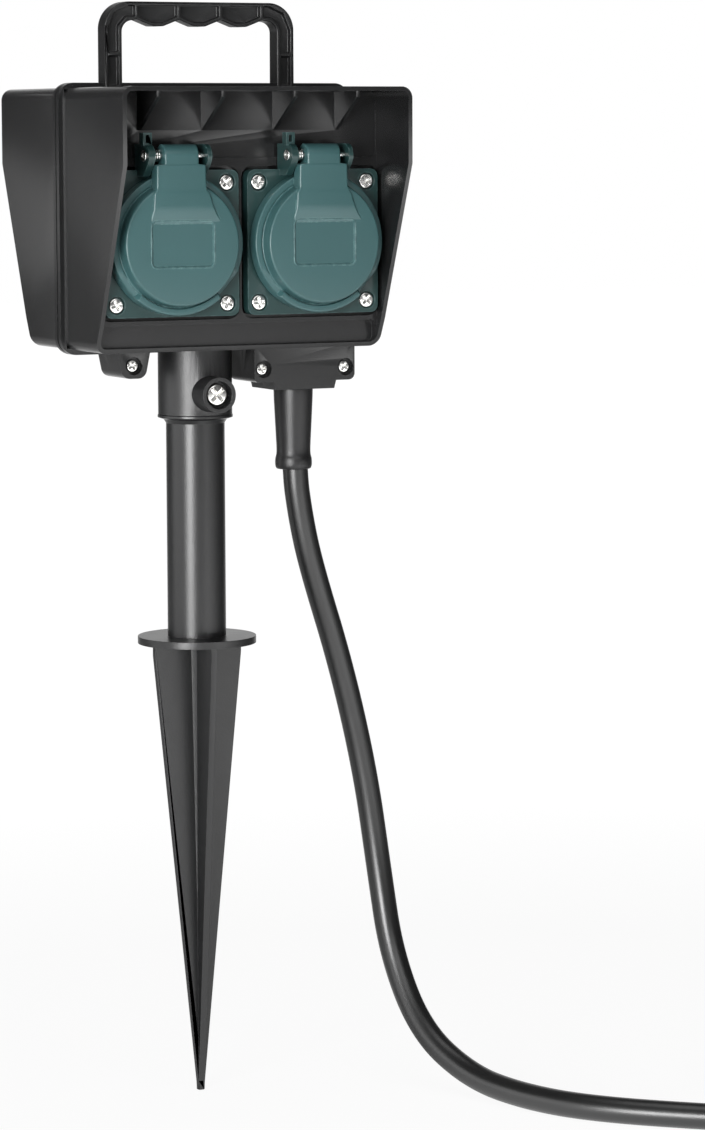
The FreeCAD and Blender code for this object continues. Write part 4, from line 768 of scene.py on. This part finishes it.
for name, socket in sockets.items():
    s = lidSettings
    shapes = {}
    for part, (points, faces) in (("cap", lidCap()), ("recess", recessTool()), ("arm", lidArm()), ("rim", recessRim())):
        shapes[part] = closedPiece(name + "_" + part, onSocket(points, socket), faces, finishes["lid"], s["sharpAngle"])
    cutOut(shapes["cap"], shapes["recess"])
    lid = joined(name + "_lid_cover", [shapes["cap"], shapes["arm"], shapes["rim"]])
    smoothed(lid.data, s["sharpAngle"])
    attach(lid, name + "_lid")
    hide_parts(name + "_lid")
    groove, grooveFloor = s["padGroove"], s["padBack"] + s["padGrooveDepth"]
    padCorners = [(0.0, s["padBack"]), (groove[0], s["padBack"], 0.1), (groove[1], grooveFloor, 0.1),
                  (groove[2], grooveFloor, 0.1), (groove[3], s["padBack"], 0.1), (s["padRadius"], s["padBack"], 0.35),
                  (s["padRadius"], s["padSeat"], 0.1), (0.0, s["padSeat"])]
    lidPad = turnedPiece(name + "_lid_gasket", padCorners, s["padSides"], socketPoint(socket, 0.0, 0.0, 0.0),
                         (0.0, float(socket["facing"]), 0.0), finishes["seal"])
    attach(lidPad, name + "_lid")
    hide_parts(name + "_lid_pad")
print("lids made")


# screws, with a smooth rim round each screw recess of the plates
screwSettings = {
    "plate": {"radius": 2.7, "height": 1.35, "crossHalf": 0.42, "crossReach": 1.75, "depth": 0.9, "sunk": 1.4},
    "shell": {"radius": 2.2, "height": 1.2, "crossHalf": 0.36, "crossReach": 1.45, "depth": 0.8, "sunk": 2.6},
    "clamp": {"radius": 4.0, "height": 2.4, "crossHalf": 0.55, "crossReach": 2.8, "depth": 1.5},
    "dome": {"rings": 26, "columns": 96, "crown": 0.82, "bend": 0.18, "fall": 0.16, "edgeHeight": 0.45,
             "sharpAngle": 45.0},
    "cup": {"inner": 3.0, "outer": 3.5, "proud": 0.05, "depth": 1.39, "back": -0.6, "columns": 48},
}


def screwHead(kind, seat, direction, spin):
    # domed disc on a polar grid; the cross recess lowers it wherever |x| or |y| is inside an arm
    s, dome = screwSettings[kind], screwSettings["dome"]
    radius, crown, bend, columns = s["radius"], dome["crown"], dome["bend"], dome["columns"]
    r = np.concatenate([np.linspace(0.0, crown, dome["rings"]) * radius,
                        radius * (crown + bend * np.sin(np.linspace(0.3, 1.57, 6)))])
    flatness = 1.0 - dome["fall"] * (np.minimum(r, crown * radius) / radius) ** 2
    edge = np.where(r > crown * radius, np.sqrt(np.clip(1.0 - ((r / radius - crown) / bend) ** 2, 0.0, 1.0)), 1.0)
    height = s["height"] * flatness * (dome["edgeHeight"] + (1.0 - dome["edgeHeight"]) * edge)
    angle = np.linspace(0.0, 2.0 * np.pi, columns, endpoint=False)
    x, y = r[:, None] * np.cos(angle + spin), r[:, None] * np.sin(angle + spin)
    u, v = r[:, None] * np.cos(angle), r[:, None] * np.sin(angle)

    def arm(a, b):
        across = np.clip((s["crossHalf"] - np.abs(a)) / 0.12 + 0.5, 0.0, 1.0)
        along = np.clip((s["crossReach"] - np.abs(b)) / 0.25 + 0.5, 0.0, 1.0)
        return across * along * (1.0 - 0.45 * np.abs(b) / s["crossReach"])

    drop = np.maximum(arm(u, v), arm(v, u))
    h = height[:, None] - s["depth"] * drop
    foot = np.stack([radius * np.cos(angle + spin), radius * np.sin(angle + spin), np.zeros(columns)], axis=1)
    local = np.concatenate([np.stack([x, y, h], axis=2).reshape(-1, 3), foot])
    direction = np.array(direction, float)
    side = np.cross(np.array([0.0, 0.0, 1.0]), direction)
    side /= np.linalg.norm(side)
    upward = np.cross(direction, side)
    points = np.array(seat, float) + local[:, :1] * side + local[:, 1:2] * upward + local[:, 2:3] * direction
    return points, gridFaces(len(r) + 1, columns, closedColumns=True)


def screwPiece(name, kind, seat, direction, spin):
    points, faces = screwHead(kind, seat, direction, spin)
    return closedPiece(name, points, faces, finishes["zinc"], screwSettings["dome"]["sharpAngle"])


plateScrewSpins = [0.35, 1.1, -0.4, 0.8, 0.1, 1.35, -0.75, 0.55]
cup = screwSettings["cup"]
cupProfile = softProfile([(cup["outer"], cup["back"]), (cup["outer"], cup["proud"], 0.2),
                          (cup["inner"], cup["proud"], 0.25), (cup["inner"], -cup["depth"])])
cupFaces = gridFaces(len(cupProfile), cup["columns"], closedRows=True, closedColumns=True)
screwCorners = [(a * layout["screwSpacing"], b * layout["screwSpacing"]) for a in (-1, 1) for b in (-1, 1)]
for facing, label in ((-1, "front"), (1, "rear")):
    outwards = (0.0, float(facing), 0.0)
    heads = []
    cups = []
    spins = iter(plateScrewSpins)
    for socket in sockets.values():
        if socket["facing"] != facing:
            continue
        for x, z in screwCorners:
            heads.append(screwPiece("%s_screw_%d" % (label, len(heads)), "plate",
                                    socketPoint(socket, x, -screwSettings["plate"]["sunk"], z), outwards, next(spins)))
            cupPoints = turnedGrid(cupProfile, cup["columns"], socketPoint(socket, x, 0.0, z), outwards)
            cups.append(closedPiece("%s_cup_%d" % (label, len(cups)), cupPoints, cupFaces, finishes["plate"],
                                    screwSettings["dome"]["sharpAngle"]))
    screws = joined(label + "_plate_screws", heads)
    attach(screws, fixedBody)
    rims = joined(label + "_screw_recess_rims", cups)
    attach(rims, fixedBody)

# x, height, distance of the face from the seam, and turn of the cross
shellScrewPlaces = [
    (layout["headX"] - 31.3, layout["headFloor"] - 5.9, 9.2, 0.6),
    (layout["cordX"] - 16.2, layout["headFloor"] - 8.4, 10.0, 0.2),
    (layout["cordX"] + 16.2, layout["headFloor"] - 8.4, 10.0, 1.0),
]
heads = [screwPiece("shell_screw_%d" % k, "shell", (x, -(face - screwSettings["shell"]["sunk"]), z),
                    (0.0, -1.0, 0.0), spin) for k, (x, z, face, spin) in enumerate(shellScrewPlaces)]
shellScrews = joined("shell_screws", heads)
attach(shellScrews, fixedBody)

clampPlace = {"z": 253.8, "seat": 17.2, "spin": 0.75}
clampHead = screwPiece("clamp_screw_head", "clamp", (0.0, -clampPlace["seat"], clampPlace["z"]), (0.0, -1.0, 0.0),
                       clampPlace["spin"])
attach(clampHead, fixedBody)
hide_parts("clamp_screw")
print("screws made")


# cord boot
bootSettings = {
    "top": 254.1,
    "length": 29.2,
    "topRadius": 7.1,
    "neckRadius": 6.1,
    "bulbRadius": 6.65,
    "footRadius": 6.2,
    "bore": 4.65,
    "spigotRadius": 5.8,
    "spigotLength": 2.0,
    "columns": 72,
    "sharpAngle": 45.0,
}
b = bootSettings
foot = b["top"] - b["length"]
spigotTop = b["top"] + b["spigotLength"]
bootCorners = [(b["bore"], spigotTop), (b["spigotRadius"], spigotTop), (b["spigotRadius"], b["top"]),
               (b["topRadius"], b["top"] - 0.05, 0.4), (b["topRadius"] - 0.1, b["top"] - 4.0, 2.0),
               (b["neckRadius"], foot + 7.4, 3.0), (b["neckRadius"] + 0.05, foot + 5.2, 1.0),
               (b["bulbRadius"], foot + 3.6, 1.2), (b["bulbRadius"], foot + 1.2, 0.8), (b["footRadius"], foot, 0.5),
               (b["bore"] + 0.4, foot, 0.2), (b["bore"], foot + 0.5)]
profile = softProfile(bootCorners, 6)
points = turnedGrid(profile, b["columns"], (layout["cordX"], 0.0, 0.0), (0.0, 0.0, 1.0))
faces = gridFaces(len(profile), b["columns"], closedRows=True, closedColumns=True)
boot = closedPiece("cord_strain_relief", points, faces, finishes["boot"], b["sharpAngle"])
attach(boot, fixedBody)
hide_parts("cord_boot")
dress("cord_clamp", "block")
print("cord boot made")


# supply cord and its plug
cordSettings = {
    "radius": 4.6,
    "coilX": 217.8,
    "coilY": -118.2,
    "coilRadius": 60.5,
    "coilPitch": 9.75,
    "coilLayer": 9.75,
    "coilTurns": 2.35,
    "climbTurns": 0.5,
    "pointsPerTurn": 16,
    "leadIn": 47.0,
    "tailBend": -88.5,
    "tailLevel": -66.5,
    "tailEnd": -44.0,
    "plugAxis": 18.7,
    "resolution": 12,
    "roundness": 8,
}
c = cordSettings
exitAngle = -math.atan(c["coilPitch"] / (2.0 * math.pi * c["coilRadius"]))
entryAngle = exitAngle - 2.0 * math.pi * c["coilTurns"]
turnSteps = int(round(c["coilTurns"] * c["pointsPerTurn"]))
t = np.linspace(0.0, c["coilTurns"], turnSteps + 1)
half = c["coilTurns"] / 2.0
# a control point lies outside the curve that it draws
spread = 1.0 / math.cos(math.pi / c["pointsPerTurn"])
coilR = (c["coilRadius"] - c["coilPitch"] * (half - np.abs(t - half))) * spread
rise = np.clip((t - half + c["climbTurns"] / 2.0) / c["climbTurns"], 0.0, 1.0)
coilZ = c["radius"] + c["coilLayer"] * rise * rise * (3.0 - 2.0 * rise)
coilA = entryAngle + 2.0 * np.pi * t
coilPoints = np.stack([c["coilX"] + coilR * np.cos(coilA), c["coilY"] + coilR * np.sin(coilA), coilZ], axis=1)
entryWay = np.array([-math.sin(entryAngle), math.cos(entryAngle), 0.0])
coilEntry = coilPoints[0] - entryWay * 2.0 * c["radius"]
tailStart = coilPoints[-1]
route = [
    (layout["cordX"], 0, 264.3),
    (layout["cordX"], 0, 226.5),
    (41.3, 0, 207.0),
    (45.6, 0, 188.5),
    (57.5, 0.2, 152.0),
    (66.6, -1, 112.0),
    (70.6, -4, 76.0),
    (71.6, -12, 45.5),
    (75.0, -29, 20.0),
    (83.5, -51, 7.0),
    (91.0, -77, c["radius"]),
    (104.0, -103.5, c["radius"]),
    tuple(coilEntry - entryWay * c["leadIn"]),
]
route += [tuple(p) for p in coilPoints]
route += [
    (tailStart[0], c["tailBend"], tailStart[2]),
    (tailStart[0], c["tailLevel"], c["plugAxis"]),
    (tailStart[0], c["tailEnd"], c["plugAxis"]),
]
curve = bpy.data.curves.new("supply_cord", "CURVE")
curve.dimensions = "3D"
curve.resolution_u = c["resolution"]
curve.bevel_depth = c["radius"] * mm
curve.bevel_resolution = c["roundness"]
curve.use_fill_caps = True
spline = curve.splines.new("NURBS")
spline.points.add(len(route) - 1)
for point, place in zip(spline.points, route):
    point.co = (place[0] * mm, place[1] * mm, place[2] * mm, 1.0)
spline.order_u = 3
spline.use_endpoint_u = True
cordPiece = placed("supply_cord", curve)
curve.materials.append(finishes["cord"])

plugSettings = {
    "stations": 220,
    "columns": 168,
    "sharpAngle": 45.0,
    "x": 278.282,
    "foot": -44.551,
    "sleeveEnd": 30.0,
    "shoulder": 63.5,
    "length": 82.0,
    "tipRadius": 6.2,
    "neckRadius": 6.5,
    "sleeveRadius": 7.6,
    "flareRadius": 13.6,
    "gripRadius": 15.5,
    "frontRadius": 18.7,
    "grooveFloor": 16.5,
    "grooveHalf": 2.7,
    "grooveStart": 66.0,
    "fluteStart": 38.0,
    "fluteEnd": 61.0,
    "fluteDepth": 0.55,
    "flutes": 14,
    "ribStart": 3.0,
    "ribMargin": 4.0,
    "ribDepth": 0.7,
    "ribPitch": 3.0,
}


def plugBody():
    # radius r(d, a) along the plug: ribs on the sleeve, flutes on the grip, and a flat-bottomed groove
    # at the top and the bottom of the front for the earth strips
    s = plugSettings
    corners = [(0.0, 0.0), (4.0, 0.0), (s["tipRadius"], 0.0, 0.6), (s["neckRadius"], 2.0),
               (s["sleeveRadius"], s["sleeveEnd"] - 1.0, 2.0), (s["flareRadius"], s["sleeveEnd"] + 7.0, 4.0),
               (s["gripRadius"], s["sleeveEnd"] + 15.0, 5.0),
               (s["gripRadius"], s["shoulder"] - 0.6, 0.6), (s["frontRadius"], s["shoulder"] + 1.0, 0.8),
               (s["frontRadius"], s["length"], 0.9), (s["frontRadius"] - 2.0, s["length"]), (0.0, s["length"])]
    profile = softProfile(corners, 6)
    walk = np.concatenate([[0.0], np.cumsum(np.linalg.norm(np.diff(profile, axis=0), axis=1))])
    even = np.unique(np.concatenate([walk, np.linspace(0.0, walk[-1], s["stations"])]))
    radius, d = np.interp(even, walk, profile[:, 0]), np.interp(even, walk, profile[:, 1])
    count = s["columns"]
    a = np.linspace(0.0, 2.0 * np.pi, count, endpoint=False)
    onSleeve = softStep(d - s["ribStart"]) * softStep((s["sleeveEnd"] - s["ribMargin"] - d) / 2.0) * (radius > 6.0)
    rib = softStep(0.5 + 1.4 * np.cos(2.0 * np.pi * d / s["ribPitch"]))
    radius = radius - s["ribDepth"] * onSleeve * rib
    onGrip = softStep((d - s["fluteStart"]) / 5.0) * softStep((s["fluteEnd"] - d) / 4.0)
    r = radius[:, None] - s["fluteDepth"] * onGrip[:, None] * (0.5 + 0.5 * np.cos(s["flutes"] * a))[None, :]
    across, up = r * np.cos(a), r * np.sin(a)
    inGroove = (np.abs(across) < s["grooveHalf"]) & (d[:, None] > s["grooveStart"])
    up = np.where(inGroove, np.clip(up, -s["grooveFloor"], s["grooveFloor"]), up)
    axis = cordSettings["plugAxis"]
    points = np.stack([s["x"] + across, s["foot"] + d[:, None] * np.ones(count), axis + up], axis=2)
    return points.reshape(-1, 3), gridFaces(len(d), count, closedColumns=True)


plugPoints, plugFaces = plugBody()
plug = closedPiece("plug_housing", plugPoints, plugFaces, finishes["plug"], plugSettings["sharpAngle"])
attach(plug, fixedBody)
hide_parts("plug_body")
for nodeName in ("plug_earth_strips", "plug_pins"):
    dress(nodeName, "nickel")
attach(cordPiece, fixedBody)
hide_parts("cord", "cord_coil", "cord_tail")
print("cord laid")


# floor, backdrop and lamps
studioSettings = {
    "floorColour": (0.88, 0.88, 0.88, 1.0),
    "floorRoughness": 0.9,
    "floorSpecular": 0.1,
    "floorHalfSize": 6.0,
    "floorGlow": 1.02,
    "shadowCentre": (0.08, -0.05, 0.0),
    "shadowFade": (0.3, 0.7),
    "shadowShare": 0.90,
    "backdropWay": (0.44, 0.89, 0.05),
    "backdropEdge": 0.84,
    "backdropFull": 0.97,
    "glossyElsewhere": 0.04,
    "floorElsewhere": 0.07,
    # the pool: a patch of the floor that glows in reflections only, a painted reflection and no lamp
    "poolWay": (0.36, -0.93, 0.0),
    "poolStrength": 3.2,
    "poolSides": (0.5, 0.95),  # share of the pool's direction at its sides and at its middle
    "poolNear": (0.3, 1.0, 0.45, 1.0),  # two distances, and the pool's share at each
    "poolFar": (1.2, 1.6, 1.0, 0.0),
    "ambient": 0.08,
    "lamps": {
        "key box": {"place": (-1.02, -0.955, 0.29), "target": (0.0, 0.0, 0.22), "size": (0.60, 0.55), "radiance": 21.0},
        "front box": {"place": (-0.10, -1.25, 1.05), "target": (0.0, 0.0, 0.28), "size": (1.1, 0.7), "radiance": 2.2},
        "left wash": {"place": (-1.47, 0.28, 0.42), "target": (0.0, 0.0, 0.24), "size": (1.4, 0.9), "radiance": 1.8},
        "front card": {"place": (0.54, -1.40, 0.10), "target": (0.0, 0.0, 0.20), "size": (0.45, 0.24), "radiance": 1.6},
        "side band": {"place": (-0.20, 0.34, 0.31), "target": (-0.05, -0.02, 0.32), "size": (0.30, 0.06),
                      "radiance": 0.36},
        "top box": {"place": (0.0, -0.1, 1.60), "target": (0.0, 0.0, 0.2), "size": (0.9, 0.9), "radiance": 1.5},
    },
}
white = (1.0, 1.0, 1.0, 1.0)


def wayShare(tree, place, way):
    # cosine between a place's direction and the given way
    return vectorNode(tree, "DOT_PRODUCT", "Value", place, tuple(Vector(way).normalized()))


def backdropMask(tree, rays, way, elsewhere):
    # 1 to the camera and through glass; in reflections 1 behind the object, and "elsewhere" in other directions
    behind = rangeNode(tree, wayShare(tree, way, studioSettings["backdropWay"]), studioSettings["backdropEdge"],
                       studioSettings["backdropFull"], elsewhere, 1.0)
    direct = mathNode(tree, "MAXIMUM", rays.outputs["Is Camera Ray"], rays.outputs["Is Transmission Ray"])
    return mathNode(tree, "MAXIMUM", direct, mathNode(tree, "MULTIPLY", rays.outputs["Is Glossy Ray"], behind))


# the floor is white to the camera and, behind the object, to reflections; near the object it keeps its shadow;
# reflections also see a pool on it, in front and a little to the right, that is brighter than white: a painted
# reflection that glows like a hidden lamp in the sheen of the glossy pieces
s = studioSettings
floorMaterial, tree, shader = newMaterial("pale floor")
feed(tree, shader.inputs["Base Color"], s["floorColour"])
feed(tree, shader.inputs["Roughness"], s["floorRoughness"])
feed(tree, shader.inputs["Specular IOR Level"], s["floorSpecular"])
rays = tree.nodes.new("ShaderNodeLightPath")
mixShader = tree.nodes.new("ShaderNodeMixShader")
floorPlace = objectPlace(tree)
floorWay = vectorNode(tree, "NORMALIZE", "Vector", floorPlace)
away = vectorNode(tree, "DISTANCE", "Value", floorPlace, s["shadowCentre"])
pool = mathNode(tree, "MULTIPLY", rangeNode(tree, wayShare(tree, floorWay, s["poolWay"]), *s["poolSides"]),
                rangeNode(tree, away, *s["poolNear"]))
pool = mathNode(tree, "MULTIPLY", pool, rangeNode(tree, away, *s["poolFar"]))
pool = mathNode(tree, "MULTIPLY", rays.outputs["Is Glossy Ray"], pool)
strength = mathNode(tree, "ADD", mathNode(tree, "MULTIPLY", pool, s["poolStrength"]), s["floorGlow"])
glow = fedNode(tree, "ShaderNodeEmission", "Emission", Color=white, Strength=strength)
share = rangeNode(tree, away, *s["shadowFade"], s["shadowShare"], 1.0)
seen = mathNode(tree, "MULTIPLY", backdropMask(tree, rays, floorWay, s["floorElsewhere"]), share)
for socket, value in zip(mixShader.inputs, (mathNode(tree, "MAXIMUM", seen, pool), shader.outputs[0], glow)):
    feed(tree, socket, value)
feed(tree, tree.nodes["Material Output"].inputs["Surface"], mixShader.outputs[0])
h = s["floorHalfSize"]
floorMesh = bpy.data.meshes.new("floor")
floorMesh.from_pydata([(-h, -h, 0.0), (h, -h, 0.0), (h, h, 0.0), (-h, h, 0.0)], [], [(0, 1, 2, 3)])
floorMesh.materials.append(floorMaterial)
floorPlane = placed("floor", floorMesh)

# the backdrop is white to the camera; reflections see it white behind the object and dark elsewhere
world = bpy.data.worlds.new("studio")
bpy.context.scene.world = world
world.use_nodes = True
tree = world.node_tree
background = tree.nodes["Background"]
feed(tree, background.inputs["Color"], white)
rays = tree.nodes.new("ShaderNodeLightPath")
skyWay = tree.nodes.new("ShaderNodeTexCoord").outputs["Generated"]
seen = backdropMask(tree, rays, skyWay, s["glossyElsewhere"])
feed(tree, background.inputs["Strength"], mathNode(tree, "MAXIMUM", seen, s["ambient"]))

for name, lamp in studioSettings["lamps"].items():
    light = bpy.data.lights.new(name, "AREA")
    light.shape = "RECTANGLE"
    light.size, light.size_y = lamp["size"]
    light.energy = lamp["radiance"] * math.pi * light.size * light.size_y
    holder = placed(name, light)
    holder.location = lamp["place"]
    aim = Vector(lamp["target"]) - Vector(lamp["place"])
    holder.rotation_euler = aim.to_track_quat("-Z", "Y").to_euler()
print("floor, backdrop and lamps placed")

bpy.context.scene.view_settings.view_transform = "Standard"
bpy.context.view_layer.update()
